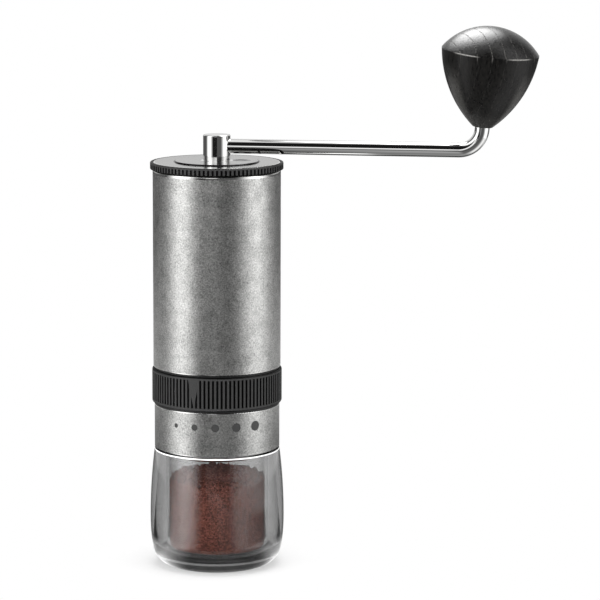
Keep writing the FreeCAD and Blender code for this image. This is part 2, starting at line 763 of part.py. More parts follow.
def make_lid_rim():
    outer_r = LID_OD / 2
    body = turned(
        (outer_r - LID_RIM_WALL, lid_rim_z),
        (outer_r, lid_rim_z, LID_GROOVE_DEPTH),
        (outer_r, boss_z, LID_GROOVE_DEPTH),
        (outer_r - LID_RIM_WALL, boss_z),
    )
    high = boss_z - LID_PLAIN_TOP
    return body.cut(slots(LID_GROOVES, LID_GROOVE_SHARE, outer_r, LID_GROOVE_DEPTH, lid_rim_z, high))


def make_lid_plate():
    recess_r = HUB_WASHER_D / 2 + FIT_GAP
    bore_r = bush_r + FIT_GAP
    body = turned(
        (bore_r, lid_plate_z),
        (flange_r, lid_plate_z),
        (flange_r, boss_z, LID_PLATE_EDGE_R),
        (BOSS_D / 2, boss_z),
        (BOSS_D / 2, boss_top_z, BOSS_EDGE_R),
        (recess_r, boss_top_z),
        (recess_r, washer_seat_z),
        (bore_r, washer_seat_z),
    )
    ball_r = ((DIMPLE_D / 2) ** 2 + DIMPLE_DEPTH ** 2) / (2 * DIMPLE_DEPTH)
    body = body.cut(Part.makeSphere(ball_r, Vec(DIMPLE_X, 0, boss_top_z + ball_r - DIMPLE_DEPTH)))
    hole = rod(LID_SCREW_D / 2 + FIT_GAP, lid_plate_z, lid_plate_z + LID_SCREW_BITE + FACE_GAP, LID_SCREW_PCD / 2)
    return body.cut(around(hole, LID_SCREW_COUNT, LID_SCREW_FIRST))


def make_lid_screws():
    x = LID_SCREW_PCD / 2
    head = rod(LID_SCREW_HEAD_D / 2, tube_top_z - LID_SCREW_HEAD_H, tube_top_z, x)
    socket = rod(LID_SCREW_D / 4, tube_top_z - LID_SCREW_HEAD_H, tube_top_z - LID_SCREW_HEAD_H / 2, x)
    shank = rod(LID_SCREW_D / 2, tube_top_z, lid_plate_z + LID_SCREW_BITE, x)
    return around(head.fuse(shank).cut(socket), LID_SCREW_COUNT, LID_SCREW_FIRST)


def make_lid_bush():
    return tube(bush_r, stem_r + RUN_GAP, bush_z, washer_seat_z)


def make_hub_washer():
    return tube(HUB_WASHER_D / 2, stem_r + RUN_GAP, washer_seat_z, boss_top_z)


def make_crank_hub():
    hub_r = HUB_D / 2
    body = turned(
        (0, stem_z),
        (stem_r, stem_z),
        (stem_r, hub_clip_z),
        (stem_r - CLIP_DEPTH, hub_clip_z),
        (stem_r - CLIP_DEPTH, hub_clip_z + CLIP_H),
        (stem_r, hub_clip_z + CLIP_H),
        (stem_r, hub_z),
        (hub_r, hub_z),
        (hub_r, hub_top_z, HUB_EDGE_R),
        (0, hub_top_z),
    )
    body = body.cut(hexagon(SHAFT_HEX + 2 * HEX_GAP, stem_z, socket_top_z))
    hole = Part.makeCylinder(arm_r + FIT_GAP, hub_r + ARM_INSET + FACE_GAP, Vec(-ARM_INSET - FACE_GAP, 0, arm_z),
                             Vec(1, 0, 0))
    return body.cut(turned_to(hole, ARM_REST_ANGLE))


def make_hub_clip():
    inner_r = stem_r - CLIP_DEPTH + FIT_GAP
    return open_clip(stem_r + CLIP_RISE, inner_r, hub_clip_z + FIT_GAP, hub_clip_z + CLIP_H - FIT_GAP)


def on_arm(shape):
    """Turn a piece drawn in the plane of the bent arm to the crank's place at rest."""
    copy = shape.copy()
    copy.rotate(Vec(0, 0, arm_z), Vec(1, 0, 0), ARM_ROLL)
    copy.rotate(ORIGIN, UP, ARM_REST_ANGLE)
    return copy


def on_knob_axis(shape):
    """Carry a piece drawn upright at the origin to the knob's leaning axis."""
    copy = shape.copy()
    copy.rotate(ORIGIN, Vec(0, 1, 0), KNOB_LEAN)
    copy.translate(Vec(ARM_REACH, 0, knob_z))
    return on_arm(copy)


def arm_end():
    """Length of the arm above the knob's lower face."""
    return KNOB_BORE_DEPTH - KNOB_PAD_H - FACE_GAP


def make_crank_arm():
    lean = math.radians(KNOB_LEAN)
    rising = Vec(math.sin(lean), 0, math.cos(lean))
    start = Vec(-ARM_INSET, 0, arm_z)
    foot = Vec(ARM_REACH, 0, knob_z)
    corner = foot - rising * (KNOB_CLEAR / rising.z)
    run = ARM_BEND_R * math.tan((math.pi / 2 - lean) / 2)
    bend_start = corner - Vec(run, 0, 0)
    bend_end = corner + rising * run
    centre = bend_start + Vec(0, 0, ARM_BEND_R)
    middle = centre + (corner - centre).normalize() * ARM_BEND_R
    path = Part.Wire([
        Part.makeLine(start, bend_start),
        Part.Arc(bend_start, middle, bend_end).toShape(),
        Part.makeLine(bend_end, foot + rising * arm_end()),
    ])
    section = Part.Wire(Part.makeCircle(arm_r, start, Vec(1, 0, 0)))
    arm = on_arm(path.makePipeShell([section], True, False))
    groove = tube(2 * arm_r, arm_r - KNOB_CLIP_DEPTH, knob_clip_low(), knob_clip_low() + CLIP_H)
    return arm.cut(on_knob_axis(groove))


def knob_clip_low():
    return KNOB_BUSH_L + FACE_GAP


def make_knob_clip():
    low = knob_clip_low() + FIT_GAP
    high = knob_clip_low() + CLIP_H - FIT_GAP
    return on_knob_axis(open_clip(arm_r + KNOB_CLIP_RISE, arm_r - KNOB_CLIP_DEPTH + FIT_GAP, low, high))


def make_knob():
    rim_r = KNOB_RIM_D / 2
    foot = Vec(KNOB_FOOT_D / 2, 0, 0)
    waist = Vec(KNOB_WAIST_D / 2, 0, KNOB_WAIST_H)
    rim = Vec(rim_r, 0, KNOB_SIDE_H)
    crown = Vec(0, 0, KNOB_SIDE_H + KNOB_DOME_H)
    dome_r = (rim_r ** 2 + KNOB_DOME_H ** 2) / (2 * KNOB_DOME_H)
    half = math.asin(rim_r / dome_r) / 2
    shoulder = Vec(dome_r * math.sin(half), 0, crown.z - dome_r * (1 - math.cos(half)))
    bore = Vec(knob_bore_r, 0, 0)
    bore_end = Vec(knob_bore_r, 0, KNOB_BORE_DEPTH)
    bore_top = Vec(0, 0, KNOB_BORE_DEPTH)
    wire = Part.Wire([
        Part.makeLine(bore, foot),
        Part.Arc(foot, waist, rim).toShape(),
        Part.Arc(rim, shoulder, crown).toShape(),
        Part.makeLine(crown, bore_top),
        Part.makeLine(bore_top, bore_end),
        Part.makeLine(bore_end, bore),
    ])
    return on_knob_axis(spun(wire))


def make_knob_bush():
    return on_knob_axis(tube(knob_bush_r, arm_r + RUN_GAP, 0, KNOB_BUSH_L))


def make_knob_pad():
    return on_knob_axis(rod(knob_bush_r, KNOB_BORE_DEPTH - KNOB_PAD_H, KNOB_BORE_DEPTH))


nodes = {
    "jar": make_jar(),
    "grounds_cup": make_grounds_cup(),
    "jar_seal": make_jar_seal(),
    "collar": make_collar(),
    "scale_dots": make_scale_dots(),
    "collar_core": make_collar_core(),
    "lower_ring_washer": make_ring_washer(collar_top_z),
    "adjusting_ring": make_adjusting_ring(),
    "upper_ring_washer": make_ring_washer(upper_washer_z),
    "body_tube": make_body_tube(),
    "chassis": make_chassis(),
    "lower_bridge": make_lower_bridge(),
    "upper_bridge": make_upper_bridge(),
    "lower_outer_race": make_outer_race(lower_bearing_z),
    "lower_inner_race": make_inner_race(lower_bearing_z),
    "lower_balls": make_balls(lower_bearing_z),
    "upper_outer_race": make_outer_race(upper_bearing_z),
    "upper_inner_race": make_inner_race(upper_bearing_z),
    "upper_balls": make_balls(upper_bearing_z),
    "burr_carrier": make_burr_carrier(),
    "follower_pins": make_follower_pins(),
    "ring_burr": make_ring_burr(),
    "burr_screws": make_burr_screws(),
    "inner_burr": make_inner_burr(),
    "drive_shaft": make_drive_shaft(),
    "shaft_clip": make_shaft_clip(),
    "burr_washer": make_burr_washer(),
    "burr_nut": make_burr_nut(),
    "burr_spring": make_burr_spring(),
    "lid_plug": make_lid_plug(),
    "lid_seal": make_lid_seal(),
    "lid_rim": make_lid_rim(),
    "lid_plate": make_lid_plate(),
    "lid_screws": make_lid_screws(),
    "lid_bush": make_lid_bush(),
    "hub_washer": make_hub_washer(),
    "crank_hub": make_crank_hub(),
    "hub_clip": make_hub_clip(),
    "crank_arm": make_crank_arm(),
    "knob_clip": make_knob_clip(),
    "knob": make_knob(),
    "knob_bush": make_knob_bush(),
    "knob_pad": make_knob_pad(),
}

os.makedirs("parts", exist_ok=True)
for name, shape in nodes.items():
    shape.exportStep("parts/" + name + ".step")
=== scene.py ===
import json
import math
import bmesh
import bpy
import numpy as np
from mathutils import Matrix, Vector


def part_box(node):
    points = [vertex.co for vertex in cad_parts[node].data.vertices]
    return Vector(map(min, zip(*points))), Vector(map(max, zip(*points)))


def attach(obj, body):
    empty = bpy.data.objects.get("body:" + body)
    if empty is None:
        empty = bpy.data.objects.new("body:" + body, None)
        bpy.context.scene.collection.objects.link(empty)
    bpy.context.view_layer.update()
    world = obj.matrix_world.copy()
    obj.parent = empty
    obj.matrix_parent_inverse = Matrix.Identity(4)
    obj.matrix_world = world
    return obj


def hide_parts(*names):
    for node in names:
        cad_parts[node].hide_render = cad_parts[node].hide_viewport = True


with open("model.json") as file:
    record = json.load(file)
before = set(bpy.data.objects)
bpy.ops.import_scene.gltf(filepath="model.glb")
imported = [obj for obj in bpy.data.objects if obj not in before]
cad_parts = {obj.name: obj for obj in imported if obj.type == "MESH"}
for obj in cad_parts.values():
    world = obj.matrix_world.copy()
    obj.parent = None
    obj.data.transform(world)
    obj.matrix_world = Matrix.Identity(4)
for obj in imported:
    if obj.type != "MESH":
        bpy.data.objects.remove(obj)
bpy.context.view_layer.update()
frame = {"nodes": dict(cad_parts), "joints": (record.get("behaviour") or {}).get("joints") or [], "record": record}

# Hand crank coffee grinder. Everything is in metres, in the frame of the CAD model: the shaft axis is Z,
# the jar stands on z = 0 and the grind scale faces -Y.
MM = 0.001
SEED = 7

# Camera, fitted to the photograph's frame of 600 x 600
CAMERA_AIM = Vector((32.6, 0.0, 105.35)) * MM
CAMERA_DISTANCE = 1154 * MM
CAMERA_ELEVATION = 9.1
CAMERA_ROLL = 0.19
CAMERA_LENS = 176.4
SENSOR_WIDTH = 36.0

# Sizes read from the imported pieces
jar_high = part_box("jar")[1]
tube_low, tube_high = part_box("body_tube")
collar_low, collar_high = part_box("collar")
ring_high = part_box("adjusting_ring")[1]
rim_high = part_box("lid_rim")[1]
joints = {joint["name"]: joint for joint in frame["joints"]}
knob_foot = Vector(joints["knob_spin"]["pos_m"])
knob_axis = Vector(joints["knob_spin"]["axis"]).normalized()
upright = Vector((0, 0, 1)).rotation_difference(knob_axis).to_matrix().to_4x4()

# Knob, from its foot along its own axis: points are (radius, height)
KNOB_FOOT_R = 3.9 * MM
KNOB_WAIST = (13.1 * MM, 11.3 * MM)
KNOB_RIM = (18.7 * MM, 29.2 * MM)
KNOB_LIP_R = 0.25 * MM
KNOB_TOP = 38.7 * MM
KNOB_BORE_R = 3.48 * MM
KNOB_BORE_DEPTH = 18.5 * MM
YEAR_RING = 2.3 * MM
PORE_ROW = 0.26 * MM
GRAIN_TURN = math.radians(-22)
# Painted light on the knob, as azimuths from the front: spots of painted highlight on the lip, and painted
# sheen on the side as (from, to, easing), with heights in the same form, and a lighter painted foot
LIP_GLINT_SPOTS = (-34, 34, 118, 205)
LIP_GLINT_HALF = 14
LIP_GLINT_EASE = 12
SHEEN_SIDES = ((-74, -46, 16), (44, 72, 16))
SHEEN_HEIGHTS = (2 * MM, 20 * MM, 12 * MM)
PAINTED_LIGHT_FOOT = (-1, 4 * MM, 7 * MM)
PAINTED_LIGHT_FOOT_SHARE = 0.6
# Lid plate
BOSS_R = 16.5 * MM
PLATE_EDGE_R = 24.2 * MM
DIMPLE_X = 9.4 * MM
DIMPLE_R = 2.7 * MM
# Rings of painted shade, as (middle radius, half width), about the shaft at the boss's foot and about the dimple
CORNER_SHADE = (BOSS_R + 0.1 * MM, 0.4 * MM)
DIMPLE_SHADE = (DIMPLE_R, 1.2 * MM)
# Crank arm
ARM_R = 2.85 * MM
ARM_Z = 166.0 * MM
ARM_ANGLE = math.radians(-7.5)
ARM_START = -3.0 * MM
ARM_BEND_R = 9.0 * MM
ARM_TOP = 16.8 * MM
CLIP_GROOVE = (13.1 * MM, 13.9 * MM)
CLIP_DEPTH = 0.4 * MM
# Rows of circles along the arm: on its straight run, in its bend, and at the deepest part of its clip groove
RUN_ROWS = 60
BEND_ROWS = 64
GROOVE_ROWS = slice(-8, -6)
# Rings where the steel tube and collar are polished and painted lighter as a highlight band, as (height, reach)
POLISHED_AND_LIT_EDGES = (
    (tube_high.z, 1.5 * MM), (tube_low.z, 0.5 * MM), (collar_high.z, 0.5 * MM), (collar_low.z, 0.4 * MM),
)
# Ribs: depths under the crown between which the rubbed grey ends and the painted groove shade begins
CROWN_TO_GROOVE_SHADE_DEPTHS = (0.03 * MM, 0.13 * MM)
# Jar: heights where its foot's painted shade and the painted light of its lowest part end, and how opaque that
# shade is
SHADED_FOOT = (3.8 * MM, 5.2 * MM)
LIT_FOOT_BAND = (0.7 * MM, 2.2 * MM)
FOOT_SHADE_OPACITY = 0.45
# Jar: a pale ring below its upper edge, a painted glint along the rim, as (depth of its middle, half its width)
RIM_GLINT_RING = (0.4 * MM, 0.22 * MM)


def linear(code):
    """Scene-linear RGBA of an sRGB hex colour."""
    channels = np.array([int(code[start:start + 2], 16) for start in (1, 3, 5)]) / 255
    bright = ((channels + 0.055) / 1.055) ** 2.4
    return (*np.where(channels <= 0.04045, channels / 12.92, bright).tolist(), 1.0)


def add(tree, kind, inputs=None, **settings):
    """Adds a node: settings are its properties, and each input is a value or a socket to link from."""
    node = tree.nodes.new("ShaderNode" + kind)
    for name, value in settings.items():
        setattr(node, name, value)
    for name, value in (inputs or {}).items():
        if isinstance(value, bpy.types.NodeSocket):
            tree.links.new(value, node.inputs[name])
        else:
            node.inputs[name].default_value = value
    return node


def new_material(name):
    """A material with its node tree and its Principled shader."""
    made = bpy.data.materials.new(name)
    made.use_nodes = True
    return made, made.node_tree, made.node_tree.nodes["Principled BSDF"]


def per_mm(size_mm):
    """Texture scale whose features are about size_mm wide, on coordinates in metres."""
    return 1 / (size_mm * MM)


# Indices of a Mix node's sockets: its two colours and their mix, and its two numbers
MIX_A, MIX_B, MIX_COLOUR = 6, 7, 2
MIX_FROM, MIX_TO = 2, 3


def link_finish(tree, shader, tone, dull, bump):
    """Links the nodes that work out a finish's colour, roughness and bump to its shader."""
    tree.links.new(tone.outputs[MIX_COLOUR], shader.inputs["Base Color"])
    tree.links.new(dull.outputs[0], shader.inputs["Roughness"])
    tree.links.new(bump.outputs["Normal"], shader.inputs["Normal"])


def once_around(columns):
    """Angles of one full turn, as a row."""
    return np.linspace(0, 2 * math.pi, columns, endpoint=False)[None, :]


def carried(radius, height, angle):
    """Points of a profile carried around Z: the radius times the angle's cosine and sine, and the height."""
    return np.stack([radius * np.cos(angle), radius * np.sin(angle), height + 0 * angle], axis=-1)


def grid_object(name, points, closed=True, attributes=None):
    """Mesh object through a grid of points (rows, columns, 3): neighbours form quads, the columns close
    into a ring unless told not to, and rows that shrink to a point become poles."""
    rows, columns = points.shape[:2]
    index = np.arange(rows * columns).reshape(rows, columns)
    if closed:
        index = np.hstack([index, index[:, :1]])
    quads = np.stack([index[:-1, :-1], index[:-1, 1:], index[1:, 1:], index[1:, :-1]], axis=-1).reshape(-1, 4)
    mesh = bpy.data.meshes.new(name)
    mesh.vertices.add(rows * columns)
    mesh.vertices.foreach_set("co", points.reshape(-1).astype(np.float32))
    mesh.loops.add(quads.size)
    mesh.loops.foreach_set("vertex_index", quads.reshape(-1).astype(np.int32))
    mesh.polygons.add(len(quads))
    mesh.polygons.foreach_set("loop_start", np.arange(0, quads.size, 4, dtype=np.int32))
    mesh.polygons.foreach_set("use_smooth", np.ones(len(quads), bool))
    for label, values in (attributes or {}).items():
        stored = mesh.attributes.new(label, "FLOAT", "POINT")
        stored.data.foreach_set("value", values.reshape(-1).astype(np.float32))
    mesh.update(calc_edges=True)
    mesh.validate()
    made = bpy.data.objects.new(name, mesh)
    bpy.context.scene.collection.objects.link(made)
    return made


def close_poles(piece):
    """Merges the points of each pole and turns all faces outwards."""
    work = bmesh.new()
    work.from_mesh(piece.data)
    bmesh.ops.remove_doubles(work, verts=work.verts, dist=1e-7)
    bmesh.ops.recalc_face_normals(work, faces=work.faces)
    work.to_mesh(piece.data)
    work.free()


def dress(piece, body, slot, material, *replaced):
    """Gives a new piece its finish, its body and the CAD nodes that it stands for."""
    piece.data.materials.append(material)
    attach(piece, body)
    if replaced:
        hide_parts(*replaced)
    return piece


# Finishes

def tumbled_steel():
    """Stainless steel tumbled with stones: a dense matt grain of small facets, and turned edges that are
    polished and painted bright as a highlight.
    """
    made, tree, shader = new_material("tumbled_stainless_steel")
    place = add(tree, "TexCoord").outputs["Object"]
    # the real grain is about 0.2 mm; it is drawn coarser so that it shows
    grain = add(tree, "TexNoise", {"Vector": place, "Scale": per_mm(0.55), "Detail": 2.0, "Roughness": 0.7})
    cloud = add(tree, "TexNoise", {"Vector": place, "Scale": per_mm(5.0), "Detail": 3.0, "Roughness": 0.6})
    drift = add(tree, "Math", {0: cloud.outputs["Fac"], 1: 0.35, 2: grain.outputs["Fac"]},
                operation="MULTIPLY_ADD")
    height = add(tree, "SeparateXYZ", {"Vector": place}).outputs["Z"]
    polished_and_lit = None
    for edge, reach in POLISHED_AND_LIT_EDGES:
        near = add(tree, "Math", {0: height, 1: edge, 2: reach}, operation="COMPARE").outputs[0]
        if polished_and_lit is not None:
            near = add(tree, "Math", {0: near, 1: polished_and_lit}, operation="MAXIMUM").outputs[0]
        polished_and_lit = near
    share = add(tree, "MapRange", {"Value": drift.outputs[0], "From Min": 0.45, "From Max": 0.9})
    tone = add(tree, "Mix", {0: share.outputs["Result"], MIX_A: linear("#858584"), MIX_B: linear("#e2e2e0")},
               data_type="RGBA")
    # painted highlight: the polished edges also get a lighter tone
    tone = add(tree, "Mix", {0: polished_and_lit, MIX_A: tone.outputs[MIX_COLOUR], MIX_B: linear("#e2e2e0")},
               data_type="RGBA")
    dull = add(tree, "MapRange", {"Value": grain.outputs["Fac"], "From Min": 0.3, "From Max": 0.7,
                                  "To Min": 0.30, "To Max": 0.46})
    dull = add(tree, "Mix", {0: polished_and_lit, MIX_FROM: dull.outputs["Result"], MIX_TO: 0.14},
               data_type="FLOAT")
    depth = add(tree, "Math", {0: 1.0, 1: polished_and_lit}, operation="SUBTRACT")
    bump = add(tree, "Bump", {"Height": grain.outputs["Fac"], "Strength": depth.outputs[0],
                              "Distance": 0.042 * MM})
    link_finish(tree, shader, tone, dull, bump)
    shader.inputs["Metallic"].default_value = 1.0
    return made


def metal(name, dark, light, rough, size_mm, bump_mm, stretch=(1.0, 1.0, 1.0)):
    """Bare metal with a machined grain: noise drawn out by stretch varies its tone, gloss and height."""
    made, tree, shader = new_material(name)
    place = add(tree, "TexCoord").outputs["Object"]
    place = add(tree, "Mapping", {"Vector": place, "Scale": stretch}).outputs["Vector"]
    grain = add(tree, "TexNoise", {"Vector": place, "Scale": per_mm(size_mm), "Detail": 3.0}).outputs["Fac"]
    tone = add(tree, "Mix", {0: grain, MIX_A: linear(dark), MIX_B: linear(light)}, data_type="RGBA")
    dull = add(tree, "MapRange", {"Value": grain, "From Min": 0.3, "From Max": 0.7,
                                  "To Min": 0.75 * rough, "To Max": 1.25 * rough})
    bump = add(tree, "Bump", {"Height": grain, "Strength": 0.5, "Distance": bump_mm * MM})
    link_finish(tree, shader, tone, dull, bump)
    shader.inputs["Metallic"].default_value = 1.0
    return made


def spun_steel():
    """Stainless steel sheet finished on a lathe: fine rings about the shaft that catch the light, painted shade in
    the corner of the boss and around the dimple, and a painted highlight on the outer edge."""
    made, tree, shader = new_material("spun_stainless_steel")
    place = add(tree, "TexCoord").outputs["Object"]
    across = add(tree, "VectorMath", {0: place, 1: (1.0, 1.0, 0.0)}, operation="MULTIPLY").outputs["Vector"]
    radius = add(tree, "VectorMath", {0: across}, operation="LENGTH").outputs["Value"]
    dimple = add(tree, "VectorMath", {0: across, 1: (DIMPLE_X, 0.0, 0.0)}, operation="DISTANCE")
    dimple = dimple.outputs["Value"]
    rings = add(tree, "TexNoise", {"W": radius, "Scale": per_mm(0.35), "Detail": 3.0}, noise_dimensions="1D")
    corner = add(tree, "Math", {0: radius, 1: CORNER_SHADE[0], 2: CORNER_SHADE[1]}, operation="COMPARE")
    around = add(tree, "Math", {0: dimple, 1: DIMPLE_SHADE[0], 2: DIMPLE_SHADE[1]}, operation="COMPARE")
    painted_shade = add(tree, "Math", {0: corner.outputs[0], 1: around.outputs[0]}, operation="MAXIMUM").outputs[0]
    edge = add(tree, "Math", {0: radius, 1: PLATE_EDGE_R}, operation="GREATER_THAN").outputs[0]
    tone = add(tree, "Mix", {0: rings.outputs["Fac"], MIX_A: linear("#8c8c8b"), MIX_B: linear("#c0c0be")},
               data_type="RGBA")
    # painted shade: dark grey in the corner of the boss and around the dimple
    tone = add(tree, "Mix", {0: painted_shade, MIX_A: tone.outputs[MIX_COLOUR], MIX_B: linear("#202020")},
               data_type="RGBA")
    # painted highlight: the outer edge of the plate is given a lighter tone
    tone = add(tree, "Mix", {0: edge, MIX_A: tone.outputs[MIX_COLOUR], MIX_B: linear("#e6e6e4")},
               data_type="RGBA")
    dull = add(tree, "MapRange", {"Value": rings.outputs["Fac"], "To Min": 0.1, "To Max": 0.2})
    bump = add(tree, "Bump", {"Height": rings.outputs["Fac"], "Strength": 0.35, "Distance": 0.01 * MM})
    link_finish(tree, shader, tone, dull, bump)
    shader.inputs["Metallic"].default_value = 1.0
    return made


def plastic(name, dark, light, rough, size_mm, bump_mm, ior=1.5):
    """Moulded plastic or rubber: a fine spark-eroded texture in its tone, gloss and height."""
    made, tree, shader = new_material(name)
    place = add(tree, "TexCoord").outputs["Object"]
    grain = add(tree, "TexNoise", {"Vector": place, "Scale": per_mm(size_mm), "Detail": 2.0}).outputs["Fac"]
    tone = add(tree, "Mix", {0: grain, MIX_A: linear(dark), MIX_B: linear(light)}, data_type="RGBA")
    dull = add(tree, "MapRange", {"Value": grain, "From Min": 0.3, "From Max": 0.7,
                                  "To Min": 0.8 * rough, "To Max": 1.2 * rough})
    bump = add(tree, "Bump", {"Height": grain, "Strength": 0.4, "Distance": bump_mm * MM})
    link_finish(tree, shader, tone, dull, bump)
    shader.inputs["IOR"].default_value = ior
    return made


def ribbed_plastic():
    """Black moulded plastic with ribs: rubbed grey on the crowns that fingers touch, the grooves near-black as
    painted shade. The crown is told from the groove by its distance from the shaft axis."""
    made, tree, shader = new_material("rubbed_black_abs_painted_groove_shade")
    place = add(tree, "TexCoord").outputs["Object"]
    grain = add(tree, "TexNoise", {"Vector": place, "Scale": per_mm(0.4), "Detail": 2.0}).outputs["Fac"]
    across = add(tree, "VectorMath", {0: place, 1: (1.0, 1.0, 0.0)}, operation="MULTIPLY").outputs["Vector"]
    radius = add(tree, "VectorMath", {0: across}, operation="LENGTH").outputs["Value"]
    height = add(tree, "SeparateXYZ", {"Vector": place}).outputs["Z"]
    on_lid = add(tree, "Math", {0: height, 1: tube_high.z}, operation="GREATER_THAN").outputs[0]
    crown_r = add(tree, "Mix", {0: on_lid, MIX_FROM: ring_high.x, MIX_TO: rim_high.x},
                  data_type="FLOAT").outputs[0]
    sunk = add(tree, "Math", {0: crown_r, 1: radius}, operation="SUBTRACT").outputs[0]
    rubbed_and_lit = add(tree, "MapRange", {"Value": sunk, "From Min": CROWN_TO_GROOVE_SHADE_DEPTHS[0], "From Max": CROWN_TO_GROOVE_SHADE_DEPTHS[1],
                                    "To Min": 1.0, "To Max": 0.0}).outputs["Result"]
    wear_and_sheen = add(tree, "Mix", {0: grain, MIX_A: linear("#222222"), MIX_B: linear("#343434")}, data_type="RGBA")
    # painted shade: grooves near-black, crowns rubbed grey
    tone = add(tree, "Mix", {0: rubbed_and_lit, MIX_A: linear("#020202"), MIX_B: wear_and_sheen.outputs[MIX_COLOUR]},
               data_type="RGBA")
    dull = add(tree, "MapRange", {"Value": grain, "From Min": 0.3, "From Max": 0.7,
                                  "To Min": 0.34, "To Max": 0.5})
    bump = add(tree, "Bump", {"Height": grain, "Strength": 0.4, "Distance": 0.012 * MM})
    link_finish(tree, shader, tone, dull, bump)
    shader.inputs["IOR"].default_value = 1.5
    # fine spark texture scatters most of the gloss
    shader.inputs["Specular IOR Level"].default_value = 0.13
    return made


def clear_moulding(name, tone, tint, density, rough, rim_glint_edge=None):
    """Injection moulded clear plastic: smooth with a faint flow ripple, tinted through its depth. If the
    height of its upper edge is given, a pale ring just below that edge is a painted glint along the rim, the
    thick foot is dark grey and partly opaque as painted shade, and its lowest part paler as painted light.
    Lamps shine through it, so that what it holds is lit."""
    made, tree, shader = new_material(name)
    place = add(tree, "TexCoord").outputs["Object"]
    flow = add(tree, "TexNoise", {"Vector": place, "Scale": per_mm(6.0), "Detail": 1.0}).outputs["Fac"]
    dull = add(tree, "MapRange", {"Value": flow, "To Min": 0.5 * rough, "To Max": 1.5 * rough})
    bump = add(tree, "Bump", {"Height": flow, "Strength": 0.15, "Distance": 0.02 * MM})
    tree.links.new(dull.outputs["Result"], shader.inputs["Roughness"])
    tree.links.new(bump.outputs["Normal"], shader.inputs["Normal"])
    shader.inputs["Base Color"].default_value = linear(tone)
    shader.inputs["Transmission Weight"].default_value = 1.0
    shader.inputs["IOR"].default_value = 1.5
    if rim_glint_edge is not None:
        height = add(tree, "SeparateXYZ", {"Vector": place}).outputs["Z"]
        # painted highlight: a pale band below the rim stands for light carried along it
        rim_glint = add(tree, "Math", {0: height, 1: rim_glint_edge - RIM_GLINT_RING[0], 2: RIM_GLINT_RING[1]},
                   operation="COMPARE").outputs[0]
        # painted shade: the thick foot is made dark grey and partly opaque
        foot = add(tree, "MapRange", {"Value": height, "From Min": SHADED_FOOT[0], "From Max": SHADED_FOOT[1],
                                      "To Min": 1.0, "To Max": 0.0}).outputs["Result"]
        low = add(tree, "MapRange", {"Value": height, "From Min": LIT_FOOT_BAND[0], "From Max": LIT_FOOT_BAND[1],
                                     "To Min": 1.0, "To Max": 0.0}).outputs["Result"]
        painted_opacity = add(tree, "Math", {0: foot, 1: FOOT_SHADE_OPACITY, 2: rim_glint}, operation="MULTIPLY_ADD").outputs[0]
        clear = add(tree, "Math", {0: 1.0, 1: painted_opacity}, operation="SUBTRACT").outputs[0]
        # painted light: the lowest part of the foot is paler than the rest of it
        painted_foot_tone = add(tree, "Mix", {0: low, MIX_A: linear("#464646"), MIX_B: linear("#a4a4a4")},
                   data_type="RGBA")
        painted_tone = add(tree, "Mix", {0: foot, MIX_A: linear(tone), MIX_B: painted_foot_tone.outputs[MIX_COLOUR]},
                   data_type="RGBA")
        # painted highlight: the band below the rim is pale
        painted_tone = add(tree, "Mix", {0: rim_glint, MIX_A: painted_tone.outputs[MIX_COLOUR], MIX_B: linear("#f2f2f2")},
                   data_type="RGBA")
        tree.links.new(painted_tone.outputs[MIX_COLOUR], shader.inputs["Base Color"])
        tree.links.new(clear, shader.inputs["Transmission Weight"])
    path = add(tree, "LightPath")
    through = add(tree, "BsdfTransparent")
    mixed = add(tree, "MixShader", {0: path.outputs["Is Shadow Ray"], 1: shader.outputs["BSDF"],
                                    2: through.outputs["BSDF"]})
    depth = add(tree, "VolumeAbsorption", {"Color": linear(tint), "Density": density})
    output = tree.nodes["Material Output"]
    tree.links.new(mixed.outputs["Shader"], output.inputs["Surface"])
    tree.links.new(depth.outputs["Volume"], output.inputs["Volume"])
    return made


